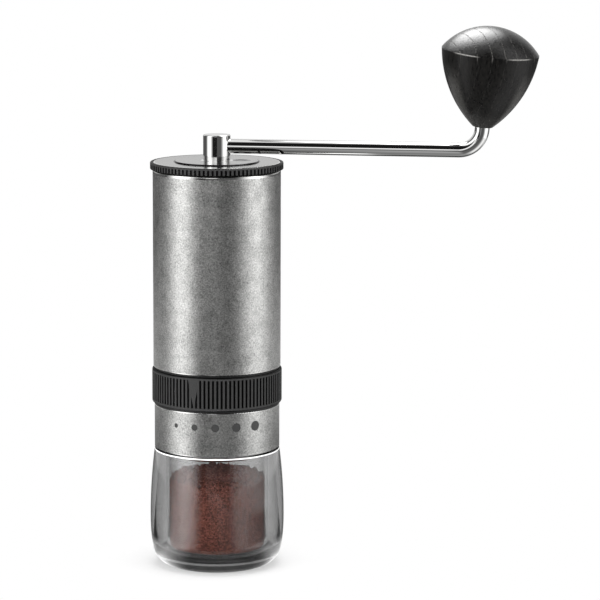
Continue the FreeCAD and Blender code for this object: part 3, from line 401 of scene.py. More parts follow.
def stained_ash():
    """Ash turned on a lathe and stained black under satin lacquer: open rows of pores along each year's
    ring stay as grey, sunken lines."""
    made, tree, shader = new_material("black_stained_ash")
    turn = upright.to_3x3().inverted()
    place = add(tree, "TexCoord").outputs["Object"]
    place = add(tree, "Mapping", {"Vector": place, "Location": -(turn @ knob_foot),
                                  "Rotation": turn.to_euler()})
    place = place.outputs["Vector"]
    waver = add(tree, "TexNoise", {"Vector": place, "Scale": per_mm(16.0), "Detail": 2.0})
    sway = add(tree, "VectorMath", {0: waver.outputs["Color"], "Scale": 3.5 * MM}, operation="SCALE")
    bent = add(tree, "VectorMath", {0: place, 1: sway.outputs["Vector"]}, operation="ADD").outputs["Vector"]
    bent = add(tree, "Mapping", {"Vector": bent, "Rotation": (0.0, 0.0, GRAIN_TURN)}).outputs["Vector"]
    across = add(tree, "SeparateXYZ", {"Vector": bent}).outputs["X"]
    year = add(tree, "Math", {0: across, 1: YEAR_RING}, operation="PINGPONG").outputs[0]
    early = add(tree, "MapRange", {"Value": year, "From Min": 0.0, "From Max": PORE_ROW, "To Min": 1.0,
                                   "To Max": 0.0}, interpolation_type="SMOOTHSTEP").outputs["Result"]
    along = add(tree, "Mapping", {"Vector": place, "Scale": (1.0, 1.0, 0.12)}).outputs["Vector"]
    pores = add(tree, "TexNoise", {"Vector": along, "Scale": per_mm(0.55), "Detail": 2.0}).outputs["Fac"]
    open_pore = add(tree, "MapRange", {"Value": pores, "From Min": 0.42, "From Max": 0.55},
                    interpolation_type="SMOOTHSTEP").outputs["Result"]
    line = add(tree, "Math", {0: early, 1: open_pore}, operation="MULTIPLY").outputs[0]
    # the turned side is filled smooth, so its pores hardly show
    height = add(tree, "SeparateXYZ", {"Vector": place}).outputs["Z"]
    bare = add(tree, "MapRange", {"Value": height, "From Min": KNOB_RIM[1] - 2 * MM, "From Max": KNOB_RIM[1],
                                  "To Min": 0.12, "To Max": 1.0}).outputs["Result"]
    line = add(tree, "Math", {0: line, 1: bare}, operation="MULTIPLY").outputs[0]
    fibre = add(tree, "MapRange", {"Value": pores, "From Min": 0.3, "From Max": 0.7}).outputs["Result"]
    ground = add(tree, "Mix", {0: fibre, MIX_A: linear("#050505"), MIX_B: linear("#121110")},
                 data_type="RGBA")
    tone = add(tree, "Mix", {0: line, MIX_A: ground.outputs[MIX_COLOUR], MIX_B: linear("#444341")},
               data_type="RGBA")
    # painted sheen: two sides and the foot are painted a lighter grey, as light glancing off them
    wear_and_sheen = add(tree, "Attribute", attribute_name="wear_and_sheen").outputs["Fac"]
    wear_and_sheen = add(tree, "Math", {0: wear_and_sheen, 1: pores}, operation="MULTIPLY").outputs[0]
    tone = add(tree, "Mix", {0: wear_and_sheen, MIX_A: tone.outputs[MIX_COLOUR], MIX_B: linear("#3c3b39")},
               data_type="RGBA")
    # painted highlight: the sharp lip is painted pale in spots, as glints along its edge
    lip = add(tree, "Attribute", attribute_name="lip").outputs["Fac"]
    tone = add(tree, "Mix", {0: lip, MIX_A: tone.outputs[MIX_COLOUR], MIX_B: linear("#b4b2ae")},
               data_type="RGBA")
    dull = add(tree, "MapRange", {"Value": fibre, "To Min": 0.26, "To Max": 0.36}).outputs["Result"]
    dull = add(tree, "Mix", {0: line, MIX_FROM: dull, MIX_TO: 0.8}, data_type="FLOAT")
    sunk = add(tree, "Math", {0: 0.3, 1: fibre, 2: line}, operation="MULTIPLY_ADD").outputs[0]
    bump = add(tree, "Bump", {"Height": sunk, "Strength": 0.7, "Distance": 0.1 * MM}, invert=True)
    link_finish(tree, shader, tone, dull, bump)
    shader.inputs["IOR"].default_value = 1.48
    # the dome is lacquered, thinly along its fibres and not over the pores; the side is left open and dry
    lacquer = add(tree, "MapRange", {"Value": height, "From Min": KNOB_RIM[1] - 0.6 * MM,
                                     "From Max": KNOB_RIM[1], "To Max": 0.25})
    closed_up = add(tree, "Math", {0: 1.0, 1: line}, operation="SUBTRACT").outputs[0]
    streaks = add(tree, "MapRange", {"Value": pores, "From Min": 0.35, "From Max": 0.65, "To Min": 0.45,
                                     "To Max": 1.5}).outputs["Result"]
    closed_up = add(tree, "Math", {0: closed_up, 1: streaks}, operation="MULTIPLY").outputs[0]
    coat = add(tree, "Math", {0: lacquer.outputs["Result"], 1: closed_up}, operation="MULTIPLY").outputs[0]
    tree.links.new(coat, shader.inputs["Coat Weight"])
    shader.inputs["Coat Roughness"].default_value = 0.26
    shader.inputs["Coat IOR"].default_value = 1.5
    shader.inputs["Specular IOR Level"].default_value = 0.17
    return made


def ground_coffee():
    """Medium ground roast coffee: dull brown crumbs of half a millimetre, painted paler on the top of the
    heap as painted light."""
    made, tree, shader = new_material("ground_coffee")
    place = add(tree, "TexCoord").outputs["Object"]
    crumb = add(tree, "TexVoronoi", {"Vector": place, "Scale": per_mm(0.46)})
    shade = add(tree, "SeparateColor", {"Color": crumb.outputs["Color"]}).outputs["Red"]
    tone = add(tree, "Mix", {0: shade, MIX_A: linear("#1c0c0a"), MIX_B: linear("#70463c")}, data_type="RGBA")
    lit_top = add(tree, "Mix", {0: shade, MIX_A: linear("#452723"), MIX_B: linear("#855b52")}, data_type="RGBA")
    lit_top_share = add(tree, "Attribute", attribute_name="lit_top").outputs["Fac"]
    tone = add(tree, "Mix", {0: lit_top_share, MIX_A: tone.outputs[MIX_COLOUR], MIX_B: lit_top.outputs[MIX_COLOUR]},
               data_type="RGBA")
    bump = add(tree, "Bump", {"Height": crumb.outputs["Distance"], "Strength": 0.8, "Distance": 0.5 * MM},
               invert=True)
    tree.links.new(tone.outputs[MIX_COLOUR], shader.inputs["Base Color"])
    tree.links.new(bump.outputs["Normal"], shader.inputs["Normal"])
    shader.inputs["Roughness"].default_value = 0.9
    # crumbs scatter what little gloss they have
    shader.inputs["Specular IOR Level"].default_value = 0.02
    return made


def enamel_dots():
    """Grey enamel wiped into shallow pits: slightly uneven, satin."""
    return plastic("grey_enamel", "#242424", "#303030", 0.5, 0.5, 0.01)


finishes = {
    "smoked_plastic": clear_moulding("smoked_copolyester", "#f2f2f2", "#bcbcbc", 360.0, 0.006, jar_high.z),
    "clear_plastic": clear_moulding("clear_copolyester", "#fcfcfc", "#f0f0f0", 60.0, 0.004),
    "silicone": plastic("black_silicone", "#0b0b0b", "#161616", 0.6, 0.4, 0.02, ior=1.41),
    "tumbled_steel": tumbled_steel(),
    "satin_steel": spun_steel(),
    "polished_steel": metal("polished_stainless_steel", "#d4d4d3", "#e2e2e1", 0.045, 20.0, 0.001),
    "bearing_steel": metal("ground_bearing_steel", "#b6b6b8", "#d6d6d8", 0.16, 0.4, 0.004, (1.0, 1.0, 6.0)),
    "burr_steel": metal("machined_burr_steel", "#85858a", "#b4b4b8", 0.32, 0.3, 0.01),
    "hardware_steel": metal("bright_turned_steel", "#9f9fa2", "#c6c6c8", 0.26, 0.4, 0.006, (1.0, 1.0, 5.0)),
    "turned_aluminium": metal("turned_aluminium", "#bcbcbf", "#dedee0", 0.3, 0.5, 0.008, (1.0, 1.0, 7.0)),
    "black_plastic": ribbed_plastic(),
    "black_nylon": plastic("black_nylon", "#0c0c0c", "#151515", 0.5, 0.5, 0.02),
    "white_nylon": plastic("white_acetal", "#d8d8d3", "#e8e8e4", 0.4, 0.5, 0.01),
    "brass": metal("turned_brass", "#b08a45", "#d8b468", 0.24, 0.4, 0.006, (1.0, 1.0, 6.0)),
    "stained_ash": stained_ash(),
    "scale_paint": enamel_dots(),
}
for part in frame["record"]["subparts"]:
    mesh = frame["nodes"][part["node"]].data
    mesh.materials.clear()
    mesh.materials.append(finishes[part["material_slot"]])


# Knob and arm

def window(value, low, high, soft):
    """1 between low and high, easing to 0 over soft on each side."""
    rise = np.clip((value - low) / soft + 0.5, 0, 1)
    fall = np.clip((high - value) / soft + 0.5, 0, 1)
    both = rise * fall
    return both * both * (3 - 2 * both)


def wrapped(degrees):
    """Degrees brought between -180 and 180."""
    return (degrees + 180) % 360 - 180


def circle_through(first, middle, last):
    """Centre and radius of the circle through three points of a plane."""
    (ax, ay), (bx, by), (cx, cy) = first, middle, last
    lines = np.array([[bx - ax, by - ay], [cx - ax, cy - ay]]) * 2
    squares = np.array([bx * bx - ax * ax + by * by - ay * ay, cx * cx - ax * ax + cy * cy - ay * ay])
    centre = np.linalg.solve(lines, squares)
    return centre, math.dist(centre, first)


def arc(centre, radius, start, end, count):
    """Points on a circle from one angle to another, both ends included."""
    angle = np.linspace(start, end, count)
    return np.stack([centre[0] + radius * np.cos(angle), centre[1] + radius * np.sin(angle)], axis=-1)


def straight(first, last, count):
    """Points along a straight line, both ends included."""
    return np.linspace(first, last, count)


def knob_profile():
    """Half section of the knob as (radius, height): bore, flat foot, swelling side arc, rounded lip and
    dome arc."""
    side_centre, side_r = circle_through((KNOB_FOOT_R, 0.0), KNOB_WAIST, KNOB_RIM)
    rise = KNOB_TOP - KNOB_RIM[1]
    dome_r = (KNOB_RIM[0] ** 2 + rise ** 2) / (2 * rise)
    dome_centre = np.array([0.0, KNOB_TOP - dome_r])
    # the lip's circle touches the side arc and the dome arc from inside
    far, near = dome_r - KNOB_LIP_R, side_r - KNOB_LIP_R
    span = math.dist(dome_centre, side_centre)
    along = (far ** 2 - near ** 2 + span ** 2) / (2 * span)
    off = math.sqrt(far ** 2 - along ** 2)
    axis = (side_centre - dome_centre) / span
    normal = np.array([-axis[1], axis[0]])
    choices = [dome_centre + axis * along + normal * off * sign for sign in (1, -1)]
    lip = max(choices, key=lambda point: point[0])
    side_end = math.atan2(*(lip - side_centre)[::-1])
    dome_start = math.atan2(*(lip - dome_centre)[::-1])
    side_start = math.atan2(-side_centre[1], KNOB_FOOT_R - side_centre[0])
    return np.vstack([
        straight((0, KNOB_BORE_DEPTH), (KNOB_BORE_R, KNOB_BORE_DEPTH), 4),
        straight((KNOB_BORE_R, KNOB_BORE_DEPTH), (KNOB_BORE_R, 0), 12)[1:],
        straight((KNOB_BORE_R, 0), (KNOB_FOOT_R, 0), 3)[1:],
        arc(side_centre, side_r, side_start, side_end, 90)[1:],
        arc(lip, KNOB_LIP_R, side_end, dome_start, 12)[1:],
        arc(dome_centre, dome_r, dome_start, math.pi / 2, 70)[1:],
    ])


def turned_knob():
    """Knob turned on its own leaning axis: the half section carried once around."""
    profile = knob_profile()
    angle = once_around(240)
    radius, height = profile[:, :1], profile[:, 1:]
    points = carried(radius, height, angle) @ np.array(upright.to_3x3()).T + np.array(knob_foot)
    lip_reach = np.hypot(radius - KNOB_RIM[0], height - KNOB_RIM[1])
    front = wrapped(np.degrees(angle) - 270)
    off_spots = [wrapped(front - spot) for spot in LIP_GLINT_SPOTS]
    # painted highlight: spots on the lip to be painted pale
    rubbed_and_lit = sum(window(off, -LIP_GLINT_HALF, LIP_GLINT_HALF, LIP_GLINT_EASE) for off in off_spots)
    lip = np.clip(0.8 - 1.6 * lip_reach / KNOB_LIP_R, 0, 1) * rubbed_and_lit
    # painted sheen: bands left and right of the front, and the foot, are marked to be painted lighter
    sides = sum(window(front, *side) for side in SHEEN_SIDES)
    wear_and_sheen = sides * window(height, *SHEEN_HEIGHTS) + PAINTED_LIGHT_FOOT_SHARE * window(height, *PAINTED_LIGHT_FOOT)
    piece = grid_object("turned_knob", points, attributes={"lip": lip, "wear_and_sheen": wear_and_sheen})
    close_poles(piece)
    return piece


def bent_arm():
    """Round bar: circles carried along a straight run, a circular bend and a rising run on the knob's axis,
    thinner at the upper edge of the clip groove."""
    along = np.array([math.cos(ARM_ANGLE), math.sin(ARM_ANGLE), 0.0])
    rising = np.array(knob_axis)
    corner = np.array(knob_foot) - rising * (knob_foot.z - ARM_Z) / rising[2]
    turn = math.acos(along @ rising)
    run = ARM_BEND_R * math.tan(turn / 2)
    start = np.array([0, 0, ARM_Z]) + along * ARM_START
    side = np.cross(along, rising)
    side = side / np.linalg.norm(side)
    bend_start, bend_end = corner - along * run, corner + rising * run
    to_centre = np.cross(side, along)
    centre = bend_start + to_centre * ARM_BEND_R
    sweep = np.linspace(0, turn, BEND_ROWS)[:, None]
    low, high = (np.array(knob_foot) + rising * level for level in CLIP_GROOVE)
    top = np.array(knob_foot) + rising * ARM_TOP
    path = np.vstack([
        np.repeat(start[None], 2, axis=0), np.linspace(start, bend_start, RUN_ROWS)[1:-1],
        centre + ARM_BEND_R * (np.sin(sweep) * along - np.cos(sweep) * to_centre),
        np.linspace(bend_end, low, 12)[1:], low[None], high[None], high[None],
        np.linspace(high, top, 6)[1:], top[None],
    ])
    heading = np.vstack([
        np.repeat(along[None], RUN_ROWS, axis=0), np.cos(sweep) * along + np.sin(sweep) * to_centre,
        np.repeat(rising[None], len(path) - RUN_ROWS - BEND_ROWS, axis=0),
    ])
    radius = np.full(len(path), ARM_R)
    radius[0] = radius[-1] = 0.0
    radius[GROOVE_ROWS] = ARM_R - CLIP_DEPTH
    up = np.cross(side, heading)
    angle = once_around(96)[..., None]
    points = path[:, None] + radius[:, None, None] * (np.cos(angle) * side + np.sin(angle) * up[:, None])
    piece = grid_object("bent_arm", points)
    close_poles(piece)
    return piece


dress(turned_knob(), "knob", "stained_ash", finishes["stained_ash"], "knob")
dress(bent_arm(), "crank", "polished_steel", finishes["polished_steel"], "crank_arm")


# Cup

# Section of the cup as (radius, height, corner radius) in mm: floor, wall, thin flange on the jar's rim, neck
# with its groove for the seal, and back down the inside
CUP_SECTION = (
    (0.0, 5.0, 0.0), (20.1, 5.0, 4.0), (20.1, 46.0, 0.1), (22.5, 46.0, 0.1), (22.5, 46.8, 0.1),
    (21.0, 46.8, 0.1), (21.0, 50.55, 0.1), (19.68, 50.55, 0.1), (19.68, 52.05, 0.1), (21.0, 52.05, 0.1),
    (21.0, 55.8, 0.4), (19.2, 55.8, 0.2), (19.2, 46.8, 0.1), (18.9, 44.4, 0.1), (18.9, 6.2, 2.8),
    (0.0, 6.2, 0.0),
)
GUARD = 0.08  # mm from the end of an arc to its guard point


def rounded(section):
    """Outline through corner points, each corner replaced by an arc of its radius that touches both its
    sides, with a guard point next to each arc so that flat sides stay flat to the eye."""
    points = [np.array(section[0][:2])]
    for (before, here, after) in zip(section, section[1:], section[2:]):
        corner = np.array(here[:2])
        back, ahead = np.array(before[:2]) - corner, np.array(after[:2]) - corner
        back, ahead = back / np.linalg.norm(back), ahead / np.linalg.norm(ahead)
        half = math.acos(np.clip(back @ ahead, -1, 1)) / 2
        run = here[2] / math.tan(half)
        middle = corner + (back + ahead) / np.linalg.norm(back + ahead) * here[2] / math.sin(half)
        first, last = corner + back * run - middle, corner + ahead * run - middle
        start = math.atan2(first[1], first[0])
        turn = (math.atan2(last[1], last[0]) - start + math.pi) % (2 * math.pi) - math.pi
        bend = arc(middle, here[2], start, start + turn, max(4, int(here[2] * 5)))
        points += [corner + back * (run + GUARD), *bend, corner + ahead * (run + GUARD)]
    return np.array(points + [np.array(section[-1][:2])])


def turned_piece(name, section, columns):
    """Outline of a half section carried once around the Z axis."""
    outline = rounded(section) * MM
    piece = grid_object(name, carried(outline[:, :1], outline[:, 1:], once_around(columns)))
    close_poles(piece)
    return piece


clear_cup = turned_piece("clear_cup", CUP_SECTION, 256)
dress(clear_cup, "jar", "clear_plastic", finishes["clear_plastic"], "grounds_cup")


# Coffee in the cup

COFFEE_GAP = 0.06 * MM
COFFEE_FLOOR = 6.2 * MM + COFFEE_GAP
COFFEE_RADIUS = 18.9 * MM - COFFEE_GAP
COFFEE_CORNER = 2.8 * MM
COFFEE_EDGE = 34.6 * MM
COFFEE_HEAP = 2.6 * MM
CRUMB = 0.55 * MM
# Noise of the coffee: cells up and around, and heights in crumbs of lumps and crumbs on top and crumbs on
# the side
LUMP_CELLS = (40, 40)
CRUMB_CELLS = (80, 150)
LUMPS_HIGH, CRUMBS_HIGH, CRUMBS_DEEP = 1.2, 0.9, 0.25
EDGE_ROWS = 8  # rows of the side over which the crumbling top begins
LIT_TOP_SPAN = (-1, 0.8, 0.2)  # share of the radius within which the top is painted paler, as painted light on the heap


def smooth_noise(rows, columns, cells_rows, cells_columns, draw):
    """Random heights on a coarse grid that closes around the columns, eased between its points by cosine."""
    coarse = draw.standard_normal((cells_rows + 1, cells_columns))
    row = np.linspace(0, cells_rows, rows, endpoint=False)
    column = np.linspace(0, cells_columns, columns, endpoint=False)
    row_cell, column_cell = row.astype(int), column.astype(int)
    row_ease = ((1 - np.cos(np.pi * (row - row_cell))) / 2)[:, None]
    column_ease = ((1 - np.cos(np.pi * (column - column_cell))) / 2)[None, :]
    near, far = column_cell, (column_cell + 1) % cells_columns
    low = coarse[row_cell][:, near] * (1 - column_ease) + coarse[row_cell][:, far] * column_ease
    high = coarse[row_cell + 1][:, near] * (1 - column_ease) + coarse[row_cell + 1][:, far] * column_ease
    return low * (1 - row_ease) + high * row_ease


def coffee_heap():
    """Loose grounds: a round cornered column carried around Z, with a low dome on top whose height falls
    with the fourth power of the radius. Two scales of noise crumble the top and roughen the sides."""
    draw = np.random.default_rng(SEED)
    floor_r = np.linspace(0, COFFEE_RADIUS - COFFEE_CORNER, 12)
    bend = np.linspace(-math.pi / 2, 0, 10)[1:]
    side_z = np.linspace(COFFEE_FLOOR + COFFEE_CORNER, COFFEE_EDGE, 70)[1:]
    top_share = np.linspace(1, 0, 60)[1:]
    radius = np.concatenate([floor_r, COFFEE_RADIUS - COFFEE_CORNER + COFFEE_CORNER * np.cos(bend),
                             np.full(len(side_z), COFFEE_RADIUS), COFFEE_RADIUS * top_share])
    height = np.concatenate([np.full(len(floor_r), COFFEE_FLOOR),
                             COFFEE_FLOOR + COFFEE_CORNER + COFFEE_CORNER * np.sin(bend), side_z,
                             COFFEE_EDGE + COFFEE_HEAP * (1 - top_share ** 4)])
    rows, columns = len(radius), 300
    angle = once_around(columns)
    side_rows = rows - len(top_share) - EDGE_ROWS
    top = np.concatenate([np.zeros(side_rows), np.linspace(0, 1, EDGE_ROWS), np.ones(len(top_share))])
    top = top[:, None]
    lumps = smooth_noise(rows, columns, *LUMP_CELLS, draw) * top * (radius / COFFEE_RADIUS)[:, None]
    crumbs = smooth_noise(rows, columns, *CRUMB_CELLS, draw)
    taper = np.minimum(radius / COFFEE_RADIUS * 1.5, 1)[:, None]
    r = radius[:, None] - np.abs(crumbs) * CRUMBS_DEEP * CRUMB * (1 - top) * taper
    z = height[:, None] + top * taper * (LUMPS_HIGH * CRUMB * lumps + CRUMBS_HIGH * CRUMB * crumbs)
    points = carried(r, z, angle)
    # painted light: the top of the heap is marked to be painted paler
    lit_top = top * window(radius / COFFEE_RADIUS, *LIT_TOP_SPAN)[:, None] + 0 * angle
    heap = grid_object("coffee_grounds", points, attributes={"lit_top": lit_top})
    close_poles(heap)
    return heap


dress(coffee_heap(), "jar", "stained_ash", ground_coffee())


# Stage: floor, tent and lamps

FLOOR_RADIUS = 8.0
FLOOR_Z = -0.05 * MM
FLOOR_WHITE_FROM = 0.0
FLOOR_WHITE_TO = 0.055
UNDER_JAR_GLOW = 0.45
TENT_RADIUS = 0.4
TENT_FLOOR_Z = 0.2 * MM
TENT_WALL = 0.6
TENT_DOME = 0.5
# Soft windows of the tent as (from, to, easing): azimuths from the camera and climbs from the arm's height in
# degrees, heights, radii and places in metres. The glow of each comes with it, where a strength of 1 is white
CLOTH_GLOW = 0.012
ROOF_CLIMB = (73, 200, 8)
ROOF_GLOW = 0.95
LEFT_STRIP = (-82, -46, 36)
LEFT_GLOW = 2.2
RIGHT_STRIP = (56, 94, 44)
RIGHT_GLOW = 2.0
ARM_LINE_AZIMUTH = (-60, 3, 4)
ARM_LINE_CLIMB = (4.5, 13, 2)
ARM_LINE_GLOW = 1.3
SKIRT_AZIMUTH = (4, 60, 4)
SKIRT_CLIMB = (-40, 5, 6)
SKIRT_GLOW = 0.1
LOW_BACK = (95, 200, 30)
LOW_BACK_GLOW = 0.1
FOOT_OF_WALL = (-1, 0.04, 0.04)
FOOT_OF_WALL_GLOW = 0.5
HIGH_BACK = (128, 200, 36)
HIGH_BACK_CLIMB = (3, 77, 6)
HIGH_BACK_GLOW = 0.7
# Its floor: a plain level, a slope to the right that brightens towards the camera, the strips near the jar
# and out at the rim, the far back, and what shines up under the jar
FLOOR_GLOW = 0.06
FLOOR_RIGHT = (0.004, 1.0, 0.01)
SLOPE_GLOW, SLOPE_PER_METRE, SLOPE_MOST = 0.06, 0.3, 0.1
FLOOR_NEAR = (0.045, 1.0, 0.03)
LEFT_NEAR_GLOW, RIGHT_NEAR_GLOW = 1.6, 0.3
FLOOR_RIM = (0.15, 1.0, 0.06)
LEFT_RIM_GLOW, RIGHT_RIM_GLOW = 0.2, 0.9
FLOOR_FAR = (0.3, 1.0, 0.06)
FLOOR_BACK = (100, 200, 30)
FLOOR_BACK_GLOW = 0.6
UNDER_EDGE = (0.02, 0.046, 0.008)
UNDER_EDGE_BACK = (70, 200, 30)
UNDER_EDGE_GLOW = 1.3
UNDER_FOOT = (0.022, 0.044, 0.012)
LEFT_FOOT_GLOW, RIGHT_FOOT_GLOW = 3.5, 1.6
# What the arm mirrors: a band and a wall below it, and a strip of floor that runs aslant and darkens towards
# the object, to its least at DARK_FROM
ARM_BAND = (-18, 2, 3)
ARM_BAND_CLIMB = (-4, 5, 1.5)
ARM_WALL = (-18, 2, 4)
ARM_WALL_CLIMB = (-40, -9, 2)
ARM_WALL_GLOW = 0.26
ARM_FLOOR_X, ARM_FLOOR_SLANT = 0.065, 0.27
ARM_FLOOR_WIDTH = (-0.055, 0.055, 0.03)
ARM_FLOOR_DEPTH = (-1.0, -0.05, 0.03)
ARM_FLOOR_LEAST, ARM_FLOOR_MOST = 0.1, 0.38
DARK_FROM, DARK_PER_METRE = -0.08, 1.2
# The second cloth, for clear pieces: its strips, how many degrees it covers to each side, and how far its
# floor stays from the shaft axis, in radii of the jar
LEFT_HAZE = (-80, -40, 24)
LEFT_HAZE_GLOW = 2.1
RIGHT_HAZE = (32, 66, 20)
RIGHT_HAZE_GLOW = 1.3
HAZE_REACH = 130
CLEAR_OF_JAR = 1.3
# Card behind the knob
CARD_WAY = Vector((-0.21, 0.48, 0.85))
CARD_DISTANCE = 110 * MM
CARD_RADIUS = 84 * MM
CARD_GLOW = 17.0
# Lamps as (name, place, size, watts)
LAMPS = (
    ("lamp_left", (-0.9, -0.6, 0.26), (0.6, 0.4), 9.0),
    ("lamp_right", (0.95, -0.5, 0.26), (0.6, 0.4), 7.0),
    ("lamp_top", (0.1, 0.1, 1.3), (1.0, 1.0), 12.0),
    ("lamp_front", (-0.25, -1.0, 0.07), (0.5, 0.1), 8.5),
)
# Light from the white surroundings on the object itself
SURROUND_LIGHT = 0.45


def disc(name, radius, height):
    """Flat disc: circles about Z from the centre out."""
    reach = radius * np.linspace(0, 1, 24)[:, None] ** 2
    made = grid_object(name, carried(reach, height + 0 * reach, once_around(72)))
    close_poles(made)
    return made


def background_share(tree):
    """1 for rays that show the background: from the camera, off gloss or through glass."""
    path = add(tree, "LightPath")
    seen = path.outputs["Is Camera Ray"]
    for kind in ("Is Glossy Ray", "Is Transmission Ray"):
        seen = add(tree, "Math", {0: seen, 1: path.outputs[kind]}, operation="MAXIMUM").outputs[0]
    return seen


def pale_floor():
    """Matt white sheet: it takes the shadow near the object and fades to the white background."""
    made, tree, shader = new_material("matt_white_sheet")
    place = add(tree, "TexCoord").outputs["Object"]
    weave = add(tree, "TexNoise", {"Vector": place, "Scale": per_mm(3.0)}).outputs["Fac"]
    tone = add(tree, "Mix", {0: weave, MIX_A: linear("#f4f4f4"), MIX_B: linear("#fafafa")}, data_type="RGBA")
    tree.links.new(tone.outputs[MIX_COLOUR], shader.inputs["Base Color"])
    shader.inputs["Roughness"].default_value = 1.0
    shader.inputs["Specular IOR Level"].default_value = 0.0
    reach = add(tree, "VectorMath", {0: place}, operation="LENGTH").outputs["Value"]
    away = add(tree, "MapRange", {"Value": reach, "From Min": FLOOR_WHITE_FROM, "From Max": FLOOR_WHITE_TO},
               interpolation_type="SMOOTHSTEP").outputs["Result"]
    share = add(tree, "Math", {0: away, 1: background_share(tree)}, operation="MULTIPLY").outputs[0]
    # seen through the jar, the sheet glows a little right under it
    under = add(tree, "LightPath").outputs["Is Transmission Ray"]
    under = add(tree, "Math", {0: under, 1: UNDER_JAR_GLOW}, operation="MULTIPLY").outputs[0]
    share = add(tree, "Math", {0: share, 1: under}, operation="MAXIMUM").outputs[0]
    glow = add(tree, "Emission", {"Color": (1.0, 1.0, 1.0, 1.0), "Strength": 1.0})
    mixed = add(tree, "MixShader", {0: share, 1: shader.outputs["BSDF"], 2: glow.outputs["Emission"]})
    tree.links.new(mixed.outputs["Shader"], tree.nodes["Material Output"].inputs["Surface"])
    return made


def around_tent(x, y, z):
    """Radius about Z, azimuth from the camera and climb from the arm's height, in degrees, of places."""
    radius = np.hypot(x, y)
    return radius, np.degrees(np.arctan2(x, -y)), np.degrees(np.arctan2(z - ARM_Z, radius))


def on_floor(radius, z):
    """True on the tent's floor, short of its wall."""
    return (radius < 0.98 * TENT_RADIUS) & (z < 0.01)


def tent_glow(x, y, z):
    """Glow of the tent's cloth at a place: a sum of soft windows in azimuth from the camera and in height.
    Strip lights left and right, a black front with a bright line for the arm, a back that is grey at its
    foot, dark up to the arm's height and bright above it, and a bright roof. The floor has the strips once
    more, a bright ring under the jar's edge, and grey far behind."""
    radius, azimuth, climb = around_tent(x, y, z)
    behind = np.abs(azimuth)
    upper = window(climb, *ROOF_CLIMB)
    left_strip = window(azimuth, *LEFT_STRIP)
    right_strip = window(azimuth, *RIGHT_STRIP)
    strips = (LEFT_GLOW * left_strip + RIGHT_GLOW * right_strip) * (1 - upper)
    line = ARM_LINE_GLOW * window(azimuth, *ARM_LINE_AZIMUTH) * window(climb, *ARM_LINE_CLIMB)
    skirt = SKIRT_GLOW * window(azimuth, *SKIRT_AZIMUTH) * window(climb, *SKIRT_CLIMB)
    low_back = window(behind, *LOW_BACK) * (LOW_BACK_GLOW + FOOT_OF_WALL_GLOW * window(z, *FOOT_OF_WALL))
    high_back = HIGH_BACK_GLOW * window(behind, *HIGH_BACK) * window(climb, *HIGH_BACK_CLIMB)
    cloth = CLOTH_GLOW + strips + line + skirt + low_back + high_back + ROOF_GLOW * upper
    rim = window(radius, *FLOOR_RIM)
    near = window(radius, *FLOOR_NEAR)
    slope = np.clip(SLOPE_GLOW - SLOPE_PER_METRE * y, 0.0, SLOPE_MOST)
    ground = FLOOR_GLOW + slope * window(x, *FLOOR_RIGHT)
    ground = ground + FLOOR_BACK_GLOW * window(radius, *FLOOR_FAR) * window(behind, *FLOOR_BACK)
    ground = ground + UNDER_EDGE_GLOW * window(radius, *UNDER_EDGE) * window(behind, *UNDER_EDGE_BACK)
    ground = ground + left_strip * (LEFT_NEAR_GLOW * near + LEFT_RIM_GLOW * rim)
    ground = ground + right_strip * (RIGHT_NEAR_GLOW * near + RIGHT_RIM_GLOW * rim)
    under_foot = LEFT_FOOT_GLOW * left_strip + RIGHT_FOOT_GLOW * right_strip
    ground = ground + under_foot * window(radius, *UNDER_FOOT)
    return np.where(on_floor(radius, z), ground, cloth)


def arm_glow(x, y, z):
    """Glow added for the arm, which leans towards the camera and so mirrors a strip left of the middle: a
    bright line level with the arm, a grey wall below it and a floor that darkens towards the object."""
    radius, azimuth, climb = around_tent(x, y, z)
    line = window(azimuth, *ARM_BAND) * window(climb, *ARM_BAND_CLIMB)
    wall = ARM_WALL_GLOW * window(azimuth, *ARM_WALL) * window(climb, *ARM_WALL_CLIMB)
    across = x - (ARM_FLOOR_X + ARM_FLOOR_SLANT * y)
    level = np.clip(ARM_FLOOR_LEAST - DARK_PER_METRE * (y - DARK_FROM), ARM_FLOOR_LEAST, ARM_FLOOR_MOST)
    ground = window(across, *ARM_FLOOR_WIDTH) * window(y, *ARM_FLOOR_DEPTH) * level
    return np.where(on_floor(radius, z), ground, line + wall)


def haze_glow(x, y, z):
    """Glow added for the light that turns back inside clear pieces: more of both strip lights."""
    azimuth = around_tent(x, y, z)[1] + 0 * z
    return LEFT_HAZE_GLOW * window(azimuth, *LEFT_HAZE) + RIGHT_HAZE_GLOW * window(azimuth, *RIGHT_HAZE)


def light_up(cloth, seen_by):
    """Makes a stage piece glow by its "glow" attribute, only for one kind of ray."""
    made, tree = new_material(cloth.name)[:2]
    level = add(tree, "Attribute", attribute_name="glow").outputs["Fac"]
    light = add(tree, "Emission", {"Strength": level})
    tree.links.new(light.outputs["Emission"], tree.nodes["Material Output"].inputs["Surface"])
    cloth.data.materials.append(made)
    for kind in ("camera", "diffuse", "glossy", "shadow", "transmission", "volume_scatter"):
        setattr(cloth, "visible_" + kind, kind == seen_by)


def knob_card():
    """Small bright card above and behind the knob, for the shine on its dome: circles about its middle on a
    plane that faces the knob. Its glow eases off to the edge."""
    share = np.linspace(0, 1, 24)[:, None]
    angle = once_around(72)
    flat = CARD_RADIUS * carried(share, 0 * share, angle)
    turn = Vector((0, 0, 1)).rotation_difference(CARD_WAY).to_matrix()
    middle = knob_foot + KNOB_RIM[1] * knob_axis + CARD_DISTANCE * CARD_WAY.normalized()
    glow = CARD_GLOW * (1 - share ** 2) ** 2 + 0 * angle
    card = grid_object("knob_card", flat @ np.array(turn).T + np.array(middle), attributes={"glow": glow})
    close_poles(card)
    light_up(card, "glossy")


